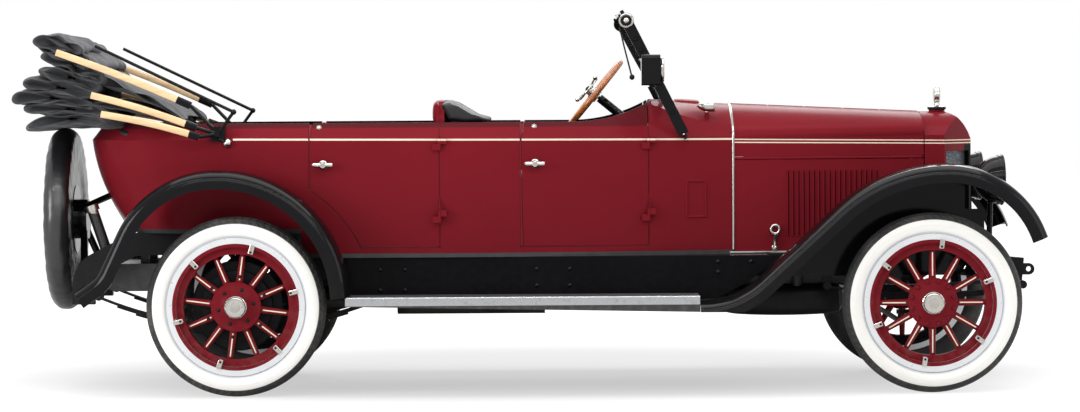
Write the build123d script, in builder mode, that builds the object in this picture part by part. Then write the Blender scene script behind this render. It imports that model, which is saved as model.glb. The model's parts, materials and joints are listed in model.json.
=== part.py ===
from build123d import *
from math import asin, atan, cos, degrees, hypot, radians, sin, sqrt, tan
import os

# Open touring car with its top folded, in millimetres.
# X points forward, Y to the car's left and Z up from the road.

# Stance and clearances
WHEELBASE = 3353
TRACK = 1422
REAR_AXLE_X = -1408
FRONT_AXLE_X = REAR_AXLE_X + WHEELBASE
NOSE_X = 2495
TAIL_X = -2495
PANEL_GAP = 5
FIT = 0.3
SEAM = 0.5

# Tyres and wood wheels, as radii and widths
TYRE_R = 434
TYRE_W = 135
BEAD_W = 88
RIM_R = 318
RIM_FLANGE_R = 333
RIM_FLANGE_T = 8
FELLOE_OUT_R = 289
FELLOE_IN_R = 254
FELLOE_W = 56
SPOKES = 12
SPOKE_ROOT_R = 19
SPOKE_TIP_R = 13
MITRE_R = 112
MITRE_W = 42
HUB_R = 52
HUB_IN = 38
HUB_OUT = 58
HUB_CAP_R = 50
HUB_CAP_L = 30
RIM_LUGS = 6
DRUM_R = 170
DRUM_W = 56
DRUM_T = 12
REAR_SPOKE_TURN = -7.4

# Steering, with the kingpins upright
KINGPIN_Y = TRACK / 2 - 85
KINGPIN_R = 14
SPINDLE_R = 22
BOSS_R = 28
BOSS_H = 68
YOKE_T = 24
YOKE_WEB = 12
STEER_ARM = 150
TIE_PIN_R = 9
TIE_PIN_Z = 340
TIE_EYE_R = 19
TIE_EYE_H = 24
TIE_ROD_R = 13

# Chassis
RAIL_OUT_Y = 400
RAIL_W = 50
RAIL_DEPTH = 110
RAIL_Z = 605
RAIL_TOP_Z = RAIL_Z + RAIL_DEPTH / 2
RAIL_IN_Y = RAIL_OUT_Y - RAIL_W
KICK_UP = 120
SPRING_Y = RAIL_OUT_Y - RAIL_W / 2
SPRING_W = 56
LEAF_T = 9
SPRING_EYE_R = 20
AXLE_TUBE_R = 45
DIFF_R = 150

# Body shell: widths are half widths, taken at the belt
COWL_X = 1004
HOOD_REAR_HALF = 410
HOOD_FRONT_HALF = 300
HOOD_FRONT_X = 1955
BODY_HALF = 640
WIDEST_X = -500
CORNER_HALF = 545
CORNER_L = 330
BACK_HALF = 300
BACK_BULGE = 36
CORNER_DRAW = 0.9
BACK_DRAW = 0.26
WALL = 45
CABIN_GAP = 4
FLOOR_T = 20
BODY_BOTTOM_Z = RAIL_TOP_Z + FLOOR_T
TUB_BOTTOM_Z = BODY_BOTTOM_Z + KICK_UP
TUB_STEP_X = -1100
BELT_Z = 1235
BODY_TOP_Z = 1314
SHOULDER_IN = 60
SHOULDER_TOP_Z = 1440
FIREWALL_X = 960
DASH_X = 605
SWOOP_X = 227
SWOOP_R = 760
COWL_TOP_Z = 1420
COWL_REAR_ARCH_R = 3200
COWL_SKIN = 30

# Doors: front and rear shut lines of each, hinged at the front
DOOR_BOTTOM_Z = 712
FRONT_DOOR_X = (-39, 590)
REAR_DOOR_X = (-1062, -425)
ARCH_CUT_R = 655
SHUT_SLANT = 0.2
HINGE_OUT = 14
HINGE_R = 8
HINGE_H = 30
HINGE_LEAF = 34
HINGE_ZS = (830, 1180)

# Hood
HOOD_TOP_REAR_Z = 1394
HOOD_TOP_FRONT_Z = 1350
HOOD_DROP = 131
HOOD_SHEET = 6
HOOD_BOTTOM_Z = RAIL_TOP_Z + 8
HOOD_FOLD_Z = 1128
HOOD_PIN_R = 6
HOOD_ROD_R = 3
LOUVRES = 18
LOUVRE_PITCH = 26
LOUVRE_H = 330
LOUVRE_W = 18
LOUVRE_OUT = 7

# Fenders and boards
FENDER_OUT_Y = 865
FRONT_FENDER_IN_Y = 575
REAR_FENDER_IN_Y = 602
FENDER_TOP_Z = 1094
REAR_FENDER_TOP_Z = 1084
FENDER_LIP = 80
FENDER_T = 6
BOARD_FRONT_X = 822
BOARD_REAR_X = -880
BOARD_FRONT_Z = 444
BOARD_REAR_Z = 478
BOARD_T = 42
BOARD_OUT_Y = 835
APRON_Y = 571
APRON_T = 6
VALANCE_FRONT_X = 2235
LAMP_BAY_X = 2140

# Radiator and lamps
RADIATOR_SIDE_X = 2053
PROW_X = 2218
RADIATOR_BOTTOM_Z = RAIL_Z + 35
RADIATOR_WALL = 24
GRILLE_TOP_Z = 1178
CAP_X = 2048
LAMP_X = 2322
LAMP_Y = 430
LAMP_Z = 1016
LAMP_R = 122

# Seats
SEAT_BACK_X = -445
SEAT_BACK_TOP_Z = 1420
FRONT_SEAT_X = (-390, 220)
REAR_SEAT_X = (-1790, -1230)
SEAT_HALF = 500

# Windshield, leaning back in its own plane
SHIELD_FOOT_X = 754
SHIELD_FOOT_Z = 1262
SHIELD_TILT = 26.6
SHIELD_H = 660
SHIELD_BAR = 22

# Steering wheel and column
STEER_HUB = (341, 310, 1445)
STEER_TILT = 50.7
STEER_RIM_R = 205
STEER_RIM_T = 14
COLUMN_R = 22

# Spare wheel at the back
SPARE_X = -2314
SPARE_Z = 838
SPARE_R = 455
SPARE_W = 130

os.makedirs("parts", exist_ok=True)


def save(piece, name):
    """Label a finished piece and write it."""
    piece.part.label = name
    export_step(piece.part, f"parts/{name}.step")


def block(xs, ys, zs, mode=Mode.ADD):
    """Box between two corners, each given as a low and high value."""
    with Locations(((xs[0] + xs[1]) / 2, (ys[0] + ys[1]) / 2, (zs[0] + zs[1]) / 2)):
        Box(xs[1] - xs[0], ys[1] - ys[0], zs[1] - zs[0], mode=mode)


def rod(start, end, radius, mode=Mode.ADD):
    """Round bar between two points."""
    run = Vector(*end) - Vector(*start)
    with Locations(Plane(origin=start, z_dir=run)):
        Cylinder(radius, run.length, align=(Align.CENTER, Align.CENTER, Align.MIN), mode=mode)


def body_half(x):
    """Half width of the body at the belt, ahead of its widest place."""
    reach = COWL_X - WIDEST_X
    fall = BODY_HALF - HOOD_REAR_HALF
    radius = (reach**2 + fall**2) / (2 * fall)
    return BODY_HALF - radius + sqrt(radius**2 - (x - WIDEST_X) ** 2)


def hood_half(x):
    """Half width of the hood between the cowl and the radiator."""
    share = (x - COWL_X) / (HOOD_FRONT_X - COWL_X)
    return HOOD_REAR_HALF + share * (HOOD_FRONT_HALF - HOOD_REAR_HALF)


def plan_outline(z, inset, rear_x, front_x, front_half):
    """Outline of the body seen from above: swelling sides, round corners and a bowed back."""
    widest = BODY_HALF - inset
    corner_x = rear_x + CORNER_L - CORNER_DRAW * inset
    corner = CORNER_HALF - inset
    back_x = rear_x + BACK_BULGE
    back_half = BACK_HALF - BACK_DRAW * inset
    with BuildSketch(Plane.XY.offset(z)) as plan:
        with BuildLine():
            side = TangentArc((WIDEST_X, widest), (front_x, front_half), tangent=(1, 0))
            flank = TangentArc((WIDEST_X, widest), (corner_x, corner), tangent=(-1, 0))
            turn = TangentArc((corner_x, corner), (back_x, back_half), tangent=flank % 1)
            back = TangentArc((back_x, back_half), (back_x, -back_half), tangent=turn % 1)
            TangentArc((back_x, -back_half), (corner_x, -corner), tangent=back % 1)
            TangentArc((WIDEST_X, -widest), (corner_x, -corner), tangent=(-1, 0))
            TangentArc((WIDEST_X, -widest), (front_x, -front_half), tangent=(1, 0))
            Line(side @ 1, (front_x, -front_half))
        make_face()
    return plan.sketch


# Levels of the body: height, tuck inward, back end
BODY_LEVELS = (
    (BODY_BOTTOM_Z, 45, -1890),
    (960, 8, -2080),
    (BELT_Z, 0, -2160),
)


def body_form(inset):
    """Solid body below the belt plus its leaning shoulder, drawn in all round by an inset."""
    front_x = FIREWALL_X if inset > 0 else COWL_X - inset
    front_half = HOOD_REAR_HALF - inset
    lean = SHOULDER_IN * (SHOULDER_TOP_Z - BELT_Z) / (BODY_TOP_Z - BELT_Z)
    sides = [plan_outline(z, tuck + inset, back + inset, front_x, front_half) for z, tuck, back in BODY_LEVELS]
    belt_back = BODY_LEVELS[-1][2]
    top = plan_outline(SHOULDER_TOP_Z, inset + lean, belt_back + inset + lean, front_x, front_half - lean)
    with BuildPart() as form:
        loft(sections=sides)
        loft(sections=[sides[-1], top], ruled=True)
    return form.part


def cowl_arch(x, half, top_z, radius, drop):
    """Region under the cowl's arched top, in a plane across the car."""
    edge_z = top_z - drop - radius + sqrt(radius**2 - half**2)
    with BuildSketch(Plane.YZ.offset(x)) as arch:
        with BuildLine():
            ThreePointArc((-half, edge_z), (0, top_z - drop), (half, edge_z))
            Polyline((half, edge_z), (half, BODY_BOTTOM_Z - FLOOR_T), (-half, BODY_BOTTOM_Z - FLOOR_T),
                     (-half, edge_z))
        make_face()
    return arch.sketch


HOOD_ARCH_R = (HOOD_REAR_HALF**2 + HOOD_DROP**2) / (2 * HOOD_DROP)


def under_lid(skin, front_x):
    """Everything below the body's top edge and the arched cowl, less a skin under the arch."""
    over = 800
    edge_z = BODY_TOP_Z - skin
    swoop_end_z = edge_z + SWOOP_R - sqrt(SWOOP_R**2 - (DASH_X - SWOOP_X) ** 2)
    open_z = SHOULDER_TOP_Z + 100
    low_z = RAIL_Z
    with BuildPart() as lid:
        with BuildSketch(Plane.XZ.offset(-over)):
            with BuildLine():
                if skin > 0:
                    Polyline((DASH_X, open_z), (TAIL_X, open_z), (TAIL_X, low_z), (DASH_X, low_z), close=True)
                else:
                    rise = TangentArc((SWOOP_X, edge_z), (DASH_X, swoop_end_z), tangent=(1, 0))
                    Polyline(rise @ 0, (TAIL_X, edge_z), (TAIL_X, low_z), (DASH_X, low_z), rise @ 1)
            make_face()
        extrude(amount=2 * over)
        half = BODY_HALF - WALL / 2
        rear = cowl_arch(DASH_X, half, COWL_TOP_Z, COWL_REAR_ARCH_R, skin)
        front = cowl_arch(front_x, half, HOOD_TOP_REAR_Z, HOOD_ARCH_R, skin)
        loft(sections=[rear, front], ruled=True)
    return lid.part


# Body shell, before it is split into panels
with BuildPart() as body_solid:
    add(body_form(0))
    add(under_lid(0, COWL_X), mode=Mode.INTERSECT)

with BuildPart() as cabin_space:
    add(body_form(WALL))
    add(under_lid(COWL_SKIN, COWL_X), mode=Mode.INTERSECT)

with BuildPart() as shell:
    add(body_solid.part)
    add(cabin_space.part, mode=Mode.SUBTRACT)

# The body's outside with a seat's gap around it, and its inside with a seat's gap within it
with BuildPart() as body_clear:
    add(body_form(-FIT))
    add(under_lid(-FIT, COWL_X + FIT), mode=Mode.INTERSECT)

cabin_clear = body_form(WALL + CABIN_GAP)

WIDE = (-900, 900)
TALL = (BODY_BOTTOM_Z - FLOOR_T, SHOULDER_TOP_Z + 100)


def arch_cut(radius, mode):
    """Round cut over the rear wheel, right across the car."""
    with Locations(Location((REAR_AXLE_X, 0, TYRE_R), (90, 0, 0))):
        Cylinder(radius, 2 * BODY_HALF + 400, mode=mode)


# Cowl with its firewall
with BuildPart() as cowl:
    add(shell.part)
    block((FRONT_DOOR_X[1], COWL_X + 100), WIDE, TALL, mode=Mode.INTERSECT)

# Rear tub, reaching forward under the rear doors round the wheel arches
with BuildPart() as tub_zone:
    block((TAIL_X, REAR_DOOR_X[0]), WIDE, TALL)
    arch_cut(ARCH_CUT_R, Mode.ADD)
    block((TAIL_X, TUB_STEP_X), WIDE, (0, TUB_BOTTOM_Z), mode=Mode.SUBTRACT)
with BuildPart() as rear_tub:
    add(shell.part)
    add(tub_zone.part, mode=Mode.INTERSECT)
save(rear_tub, "rear_tub")

# Panels between the doors, with the sills below the doors
with BuildPart() as panel_zone:
    block((REAR_DOOR_X[1], FRONT_DOOR_X[0]), WIDE, TALL)
    block((REAR_AXLE_X, FRONT_DOOR_X[1] - SEAM), WIDE, (TALL[0], DOOR_BOTTOM_Z - PANEL_GAP))
    arch_cut(ARCH_CUT_R + SEAM, Mode.SUBTRACT)

# Doors: name, rear shut line, front shut line
DOORS = (
    ("door_front", *FRONT_DOOR_X),
    ("door_rear", *REAR_DOOR_X),
)
SIDES = (("right", -1), ("left", 1))


def hinge_axis(front_line, side):
    """Upright hinge line of a door, outside the skin at its front edge."""
    return front_line - PANEL_GAP / 2, side * (body_half(front_line) + HINGE_OUT)


def hinge_leaves(front_line, side, toward, raise_z):
    """Barrels and leaves of one half of a door's hinges, fixed to the panel on one side of the shut line."""
    axis_x, axis_y = hinge_axis(front_line, side)
    inner_y = axis_y - side * (HINGE_OUT + 50)
    ys = sorted((axis_y + side * HINGE_R / 2, inner_y))
    near = axis_x + toward * (PANEL_GAP / 2 + 1)
    xs = sorted((near, axis_x + toward * HINGE_LEAF))
    for z in HINGE_ZS:
        base = z + raise_z
        block(xs, ys, (base, base + HINGE_H))
        neck = sorted((axis_x, near + toward))
        neck_ys = sorted((axis_y + side * HINGE_R / 2, axis_y - side * HINGE_R / 2))
        block(neck, neck_ys, (base, base + HINGE_H))
        with Locations((axis_x, axis_y, base)):
            Cylinder(HINGE_R, HINGE_H, align=(Align.CENTER, Align.CENTER, Align.MIN))


HANDLE_Z = 1112
HANDLE_IN = 48
HANDLE_L = 95
HANDLE_R = 7
HANDLE_OUT = 30

for side_name, side in SIDES:
    for door_name, rear_line, front_line in DOORS:
        outer_y = side * (BODY_HALF + 200)
        inner_y = side * (HOOD_REAR_HALF - 200)
        slant = SHUT_SLANT * abs(BODY_HALF - abs(inner_y))
        with BuildPart() as door:
            with BuildSketch(Plane.XY.offset(DOOR_BOTTOM_Z)):
                with BuildLine():
                    Polyline((front_line - PANEL_GAP, outer_y), (rear_line + PANEL_GAP, outer_y),
                             (rear_line + PANEL_GAP, side * BODY_HALF),
                             (rear_line + PANEL_GAP + slant, inner_y), (front_line - PANEL_GAP, inner_y),
                             close=True)
                make_face()
            extrude(amount=SHOULDER_TOP_Z - DOOR_BOTTOM_Z)
            if door_name == "door_rear":
                arch_cut(ARCH_CUT_R + PANEL_GAP, Mode.SUBTRACT)
            add(shell.part, mode=Mode.INTERSECT)
            hinge_leaves(front_line, side, -1, 0)
            grip_x = rear_line + HANDLE_IN
            skin_y = side * (body_half(max(grip_x, WIDEST_X)) - 10)
            grip_y = skin_y + side * (HANDLE_OUT + 10)
            rod((grip_x, skin_y - side * 15, HANDLE_Z), (grip_x, grip_y, HANDLE_Z), HANDLE_R + 2)
            rod((grip_x - HANDLE_L / 3, grip_y, HANDLE_Z), (grip_x + HANDLE_L * 2 / 3, grip_y, HANDLE_Z), HANDLE_R)
            add(cabin_space.part, mode=Mode.SUBTRACT)
        save(door, f"{door_name}_{side_name}")

with BuildPart() as side_panels:
    add(shell.part)
    add(panel_zone.part, mode=Mode.INTERSECT)
    for side_name, side in SIDES:
        hinge_leaves(REAR_DOOR_X[1], side, 1, HINGE_H + FIT)
    add(cabin_space.part, mode=Mode.SUBTRACT)
save(side_panels, "side_panels")

with BuildPart() as cowl_panel:
    add(cowl.part)
    for side_name, side in SIDES:
        hinge_leaves(FRONT_DOOR_X[1], side, 1, HINGE_H + FIT)
    add(cabin_space.part, mode=Mode.SUBTRACT)
save(cowl_panel, "cowl")

# Floor, stepped up over the rear axle
with BuildPart() as floor:
    add(body_form(0))
    block((TAIL_X, TUB_STEP_X), WIDE, (TUB_BOTTOM_Z - FLOOR_T, TUB_BOTTOM_Z), mode=Mode.INTERSECT)
    bottom = plan_outline(BODY_BOTTOM_Z, BODY_LEVELS[0][1], BODY_LEVELS[0][2], COWL_X, HOOD_REAR_HALF)
    extrude(bottom, amount=-FLOOR_T)
    block((TAIL_X, TUB_STEP_X - FLOOR_T), WIDE, (0, TUB_BOTTOM_Z - FLOOR_T), mode=Mode.SUBTRACT)
    riser_half = BODY_HALF - BODY_LEVELS[0][1] - WALL
    block((TUB_STEP_X - FLOOR_T, TUB_STEP_X), (-riser_half, riser_half), (BODY_BOTTOM_Z, TUB_BOTTOM_Z))
save(floor, "floor")

# Dashboard across the cowl's mouth
DASH_T = 12
DASH_BOTTOM_Z = 1256
with BuildPart() as dashboard:
    add(cabin_clear)
    add(under_lid(COWL_SKIN + SEAM, COWL_X), mode=Mode.INTERSECT)
    block((DASH_X + DASH_T, DASH_X + 2 * DASH_T), WIDE, (DASH_BOTTOM_Z, TALL[1]), mode=Mode.INTERSECT)
save(dashboard, "dashboard")

# Seats: boxes, the front seat's painted shell, and the leather cushions
SEAT_BOX_Z = 945
REAR_SEAT_RISE = 30
CUSHION_T = 125
SEAT_SPAN = (-SEAT_HALF, SEAT_HALF)
with BuildPart() as seat_boxes:
    block(FRONT_SEAT_X, SEAT_SPAN, (BODY_BOTTOM_Z, SEAT_BOX_Z))
    block(REAR_SEAT_X, SEAT_SPAN, (TUB_BOTTOM_Z, SEAT_BOX_Z + REAR_SEAT_RISE))
    add(cabin_clear, mode=Mode.INTERSECT)
save(seat_boxes, "seat_boxes")

SHELL_T = 40
SHELL_CORNER_R = 110
with BuildPart() as front_seat_shell:
    with BuildSketch(Plane.YZ.offset(SEAT_BACK_X)):
        half = BODY_HALF - WALL - SHOULDER_IN - PANEL_GAP
        with Locations((0, (BODY_BOTTOM_Z + SEAT_BACK_TOP_Z) / 2)):
            back = Rectangle(2 * half, SEAT_BACK_TOP_Z - BODY_BOTTOM_Z)
        fillet(back.vertices().group_by(Axis.Y)[-1], radius=SHELL_CORNER_R)
    extrude(amount=SHELL_T)
save(front_seat_shell, "front_seat_shell")

BACK_FOOT = 235
BACK_SHOULDER = 205
BACK_SHOULDER_Z = BODY_TOP_Z - 10
BACK_HEAD = 45
BACK_BELOW_SHELL = 12
front_back_x = SEAT_BACK_X + SHELL_T + FIT
rear_cushion_z = SEAT_BOX_Z + REAR_SEAT_RISE
with BuildPart() as seat_cushions:
    with BuildSketch(Plane.XZ.offset(-SEAT_HALF)):
        with BuildLine():
            low_z = SEAT_BOX_Z + CUSHION_T + FIT
            high_z = SEAT_BACK_TOP_Z - BACK_BELOW_SHELL
            roll = TangentArc((front_back_x + BACK_SHOULDER, BACK_SHOULDER_Z), (front_back_x + BACK_HEAD, high_z),
                              tangent=(BACK_SHOULDER - BACK_FOOT, BACK_SHOULDER_Z - low_z))
            Polyline(roll @ 0, (front_back_x + BACK_FOOT, low_z), (front_back_x, low_z), (front_back_x, high_z), roll @ 1)
        make_face()
    extrude(amount=2 * SEAT_HALF)
    block((FRONT_SEAT_X[0], FRONT_SEAT_X[1]), SEAT_SPAN, (SEAT_BOX_Z, SEAT_BOX_Z + CUSHION_T))
    block(REAR_SEAT_X, SEAT_SPAN, (rear_cushion_z, rear_cushion_z + CUSHION_T))
    block((TAIL_X, REAR_SEAT_X[0] - FIT), WIDE, (TUB_BOTTOM_Z + FIT, BODY_TOP_Z - 12))
    add(cabin_clear, mode=Mode.INTERSECT)
save(seat_cushions, "seat_cushions")

# Hood: two top leaves on a centre hinge, and two side leaves that fold under them
HOOD_XS = (COWL_X + PANEL_GAP, HOOD_FRONT_X - PANEL_GAP)
HOOD_SHOULDER = 45
hood_turn = atan((HOOD_REAR_HALF - HOOD_FRONT_HALF) / (HOOD_FRONT_X - COWL_X))
hood_fall = degrees(atan((HOOD_TOP_REAR_Z - HOOD_TOP_FRONT_Z) / (HOOD_FRONT_X - COWL_X)))


def hood_section(x, inset, top_z):
    """Half outline of the hood across the car, from the centre hinge down to the fold."""
    half = hood_half(x) - inset
    drop = HOOD_DROP * (hood_half(x) / HOOD_REAR_HALF) ** 2
    top = top_z - inset
    edge_z = top - drop
    with BuildSketch(Plane.YZ.offset(x)) as section:
        with BuildLine():
            roof = TangentArc((0, top), (-half + HOOD_SHOULDER * 0.6, edge_z + HOOD_SHOULDER * 0.35), tangent=(-1, 0))
            TangentArc(roof @ 1, (-half, edge_z - HOOD_SHOULDER), tangent=roof % 1)
            Polyline((-half, edge_z - HOOD_SHOULDER), (-half, HOOD_FOLD_Z), (0, HOOD_FOLD_Z), (0, top))
        make_face()
    return section.sketch


with BuildPart() as hood_top_form:
    loft(sections=[hood_section(COWL_X, 0, HOOD_TOP_REAR_Z), hood_section(HOOD_FRONT_X, 0, HOOD_TOP_FRONT_Z)],
         ruled=True)
    loft(sections=[hood_section(COWL_X, HOOD_SHEET, HOOD_TOP_REAR_Z),
                   hood_section(HOOD_FRONT_X, HOOD_SHEET, HOOD_TOP_FRONT_Z)], ruled=True, mode=Mode.SUBTRACT)
    block((COWL_X + PANEL_GAP, HOOD_FRONT_X - PANEL_GAP), (-HOOD_REAR_HALF - 50, -HOOD_PIN_R - 2),
          (HOOD_FOLD_Z + 8, HOOD_TOP_REAR_Z + 50), mode=Mode.INTERSECT)


def hood_pin(x):
    """Centre hinge line of the hood at a station along it."""
    share = (x - COWL_X) / (HOOD_FRONT_X - COWL_X)
    return HOOD_TOP_REAR_Z + share * (HOOD_TOP_FRONT_Z - HOOD_TOP_REAR_Z)


def fold_point(x, side):
    """Fold line between the top and side leaf, in the middle of the sheet."""
    return x, side * (hood_half(x) - HOOD_SHEET / 2), HOOD_FOLD_Z


# Hinge knuckles along a hood line: share of the start and end along it
TOP_KNUCKLES_RIGHT = ((0.0, 0.2), (0.4, 0.6), (0.8, 1.0))
TOP_KNUCKLES_LEFT = ((0.205, 0.395), (0.605, 0.795))
FOLD_KNUCKLES_TOP = ((0.05, 0.15), (0.45, 0.55), (0.85, 0.95))
FOLD_KNUCKLES_SIDE = ((0.155, 0.25), (0.555, 0.65), (0.75, 0.845))
FOLD_PIN = ((0.05, 0.95),)


def knuckle_row(start, end, shares, radius):
    """Hinge knuckles on the line between two points."""
    line = Vector(*end) - Vector(*start)
    for low, high in shares:
        rod(tuple(Vector(*start) + line * low), tuple(Vector(*start) + line * high), radius)


def rod_point(x):
    """Middle of the rod that the top leaves hang on."""
    return x, 0, hood_pin(x) - HOOD_SHEET / 2


# Rod from the cowl to the radiator, trimmed to their faces
with BuildPart() as hood_rod:
    rod(rod_point(COWL_X - HOOD_ROD_R), rod_point(HOOD_FRONT_X + HOOD_ROD_R), HOOD_ROD_R)
    block((COWL_X, HOOD_FRONT_X), WIDE, TALL, mode=Mode.INTERSECT)
save(hood_rod, "hood_rod")

for side_name, side in SIDES:
    pin_start = rod_point(HOOD_XS[0])
    pin_end = rod_point(HOOD_XS[1])
    fold_start = fold_point(HOOD_XS[0], side)
    fold_end = fold_point(HOOD_XS[1], side)
    shares = TOP_KNUCKLES_RIGHT if side < 0 else TOP_KNUCKLES_LEFT
    with BuildPart() as leaf:
        add(hood_top_form.part)
        if side > 0:
            mirror(about=Plane.XZ, mode=Mode.REPLACE)
        knuckle_row(pin_start, pin_end, shares, HOOD_PIN_R)
        for low, high in shares:
            x0, x1 = (HOOD_XS[0] + share * (HOOD_XS[1] - HOOD_XS[0]) for share in (low, high))
            middle = (x0 + x1) / 2
            ys = sorted((0, side * (HOOD_PIN_R + 4)))
            with Locations(Location((middle, sum(ys) / 2, hood_pin(middle) - HOOD_SHEET / 2), (0, hood_fall, 0))):
                Box(x1 - x0, ys[1] - ys[0], HOOD_SHEET * 0.8)
        rod(rod_point(COWL_X), rod_point(HOOD_FRONT_X), HOOD_ROD_R + FIT, mode=Mode.SUBTRACT)
        knuckle_row(fold_start, fold_end, FOLD_KNUCKLES_TOP, HOOD_PIN_R)
        knuckle_row(fold_start, fold_end, FOLD_PIN, HOOD_ROD_R)
        for low, high in FOLD_KNUCKLES_TOP:
            x0, x1 = (HOOD_XS[0] + share * (HOOD_XS[1] - HOOD_XS[0]) for share in (low, high))
            middle = (x0 + x1) / 2
            with Locations(Location((middle, side * (hood_half(middle) - HOOD_SHEET / 2), HOOD_FOLD_Z + 6),
                                    (0, 0, -side * degrees(hood_turn)))):
                Box((x1 - x0) / cos(hood_turn), HOOD_SHEET * 0.8, 12)
    save(leaf, f"hood_top_{side_name}")

    flat = Plane(origin=(COWL_X, side * HOOD_REAR_HALF, 0), x_dir=(cos(hood_turn), -side * sin(hood_turn), 0),
                 z_dir=(sin(hood_turn), side * cos(hood_turn), 0))
    leaf_l = (HOOD_FRONT_X - COWL_X) / cos(hood_turn)
    up = 1 if side < 0 else -1
    louvre_start = 270
    louvre_z = 905
    with BuildPart() as side_leaf:
        with BuildSketch(flat):
            with Locations((leaf_l / 2, up * (HOOD_BOTTOM_Z + HOOD_FOLD_Z - 8) / 2)):
                Rectangle(leaf_l - 2 * PANEL_GAP, HOOD_FOLD_Z - 8 - HOOD_BOTTOM_Z)
        extrude(amount=-HOOD_SHEET)
        for step in range(LOUVRES):
            along = louvre_start + step * LOUVRE_PITCH
            with BuildSketch(flat):
                with Locations((along, up * louvre_z)):
                    SlotOverall(LOUVRE_H, LOUVRE_W * 0.5, rotation=90)
            extrude(amount=LOUVRE_OUT, taper=20)
        knuckle_row(fold_start, fold_end, FOLD_KNUCKLES_SIDE, HOOD_PIN_R)
        for low, high in FOLD_KNUCKLES_SIDE:
            x0, x1 = (HOOD_XS[0] + share * (HOOD_XS[1] - HOOD_XS[0]) for share in (low, high))
            middle = (x0 + x1) / 2
            with Locations(Location((middle, side * (hood_half(middle) - HOOD_SHEET / 2), HOOD_FOLD_Z - 6),
                                    (0, 0, -side * degrees(hood_turn)))):
                Box((x1 - x0) / cos(hood_turn), HOOD_SHEET * 0.8, 12)
        rod(fold_start, fold_end, HOOD_ROD_R + FIT, mode=Mode.SUBTRACT)
    save(side_leaf, f"hood_side_{side_name}")

# Radiator: a pointed shell with an open face on each side of the prow, and the core behind it
with BuildPart() as radiator_shell:
    with BuildSketch(Plane.XY.offset(RADIATOR_BOTTOM_Z)):
        with BuildLine():
            Polyline((HOOD_FRONT_X, HOOD_FRONT_HALF), (RADIATOR_SIDE_X, HOOD_FRONT_HALF), (PROW_X, 0),
                     (RADIATOR_SIDE_X, -HOOD_FRONT_HALF), (HOOD_FRONT_X, -HOOD_FRONT_HALF), close=True)
        make_face()
    extrude(amount=HOOD_TOP_FRONT_Z - RADIATOR_BOTTOM_Z)
    with BuildSketch(Plane.YZ.offset(HOOD_FRONT_X)):
        with BuildLine():
            top_drop = HOOD_DROP * (HOOD_FRONT_HALF / HOOD_REAR_HALF) ** 2
            ThreePointArc((-HOOD_FRONT_HALF, HOOD_TOP_FRONT_Z - top_drop - HOOD_SHOULDER), (0, HOOD_TOP_FRONT_Z),
                          (HOOD_FRONT_HALF, HOOD_TOP_FRONT_Z - top_drop - HOOD_SHOULDER))
            Polyline((HOOD_FRONT_HALF, HOOD_TOP_FRONT_Z - top_drop - HOOD_SHOULDER), (HOOD_FRONT_HALF, 0),
                     (-HOOD_FRONT_HALF, 0), (-HOOD_FRONT_HALF, HOOD_TOP_FRONT_Z - top_drop - HOOD_SHOULDER))
        make_face()
    extrude(amount=PROW_X - HOOD_FRONT_X, mode=Mode.INTERSECT)
    with BuildSketch(Plane.XZ.offset(-HOOD_FRONT_HALF)):
        with BuildLine():
            nose_z = GRILLE_TOP_Z + 30
            slope = ThreePointArc((RADIATOR_SIDE_X + 25, HOOD_TOP_FRONT_Z + 1),
                                  (PROW_X - 55, HOOD_TOP_FRONT_Z - 55), (PROW_X + 1, nose_z))
            Polyline(slope @ 1, (PROW_X + 1, HOOD_TOP_FRONT_Z + 60), (RADIATOR_SIDE_X + 25, HOOD_TOP_FRONT_Z + 60),
                     slope @ 0)
        make_face()
    extrude(amount=2 * HOOD_FRONT_HALF, mode=Mode.SUBTRACT)
    prow_turn = atan((PROW_X - RADIATOR_SIDE_X) / HOOD_FRONT_HALF)
    face_l = hypot(PROW_X - RADIATOR_SIDE_X, HOOD_FRONT_HALF)
    with BuildSketch(Plane.XY.offset(RADIATOR_BOTTOM_Z + RADIATOR_WALL)):
        with BuildLine():
            inner_half = HOOD_FRONT_HALF - RADIATOR_WALL
            nose_back = RADIATOR_WALL / cos(prow_turn)
            Polyline((HOOD_FRONT_X - 1, inner_half), (RADIATOR_SIDE_X - nose_back + RADIATOR_WALL * tan(prow_turn),
                     inner_half), (PROW_X - nose_back, 0),
                     (RADIATOR_SIDE_X - nose_back + RADIATOR_WALL * tan(prow_turn), -inner_half),
                     (HOOD_FRONT_X - 1, -inner_half), close=True)
        make_face()
    extrude(amount=GRILLE_TOP_Z - RADIATOR_BOTTOM_Z - RADIATOR_WALL, mode=Mode.SUBTRACT)
    for side_name, side in SIDES:
        middle = ((RADIATOR_SIDE_X + PROW_X) / 2, side * HOOD_FRONT_HALF / 2,
                  (GRILLE_TOP_Z + RADIATOR_BOTTOM_Z + RADIATOR_WALL) / 2)
        turn = degrees(prow_turn) * side
        with Locations(Location(middle, (0, 0, turn))):
            Box(3 * RADIATOR_WALL, face_l - 2 * RADIATOR_WALL,
                GRILLE_TOP_Z - RADIATOR_BOTTOM_Z - 3 * RADIATOR_WALL, mode=Mode.SUBTRACT)
save(radiator_shell, "radiator_shell")

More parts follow.
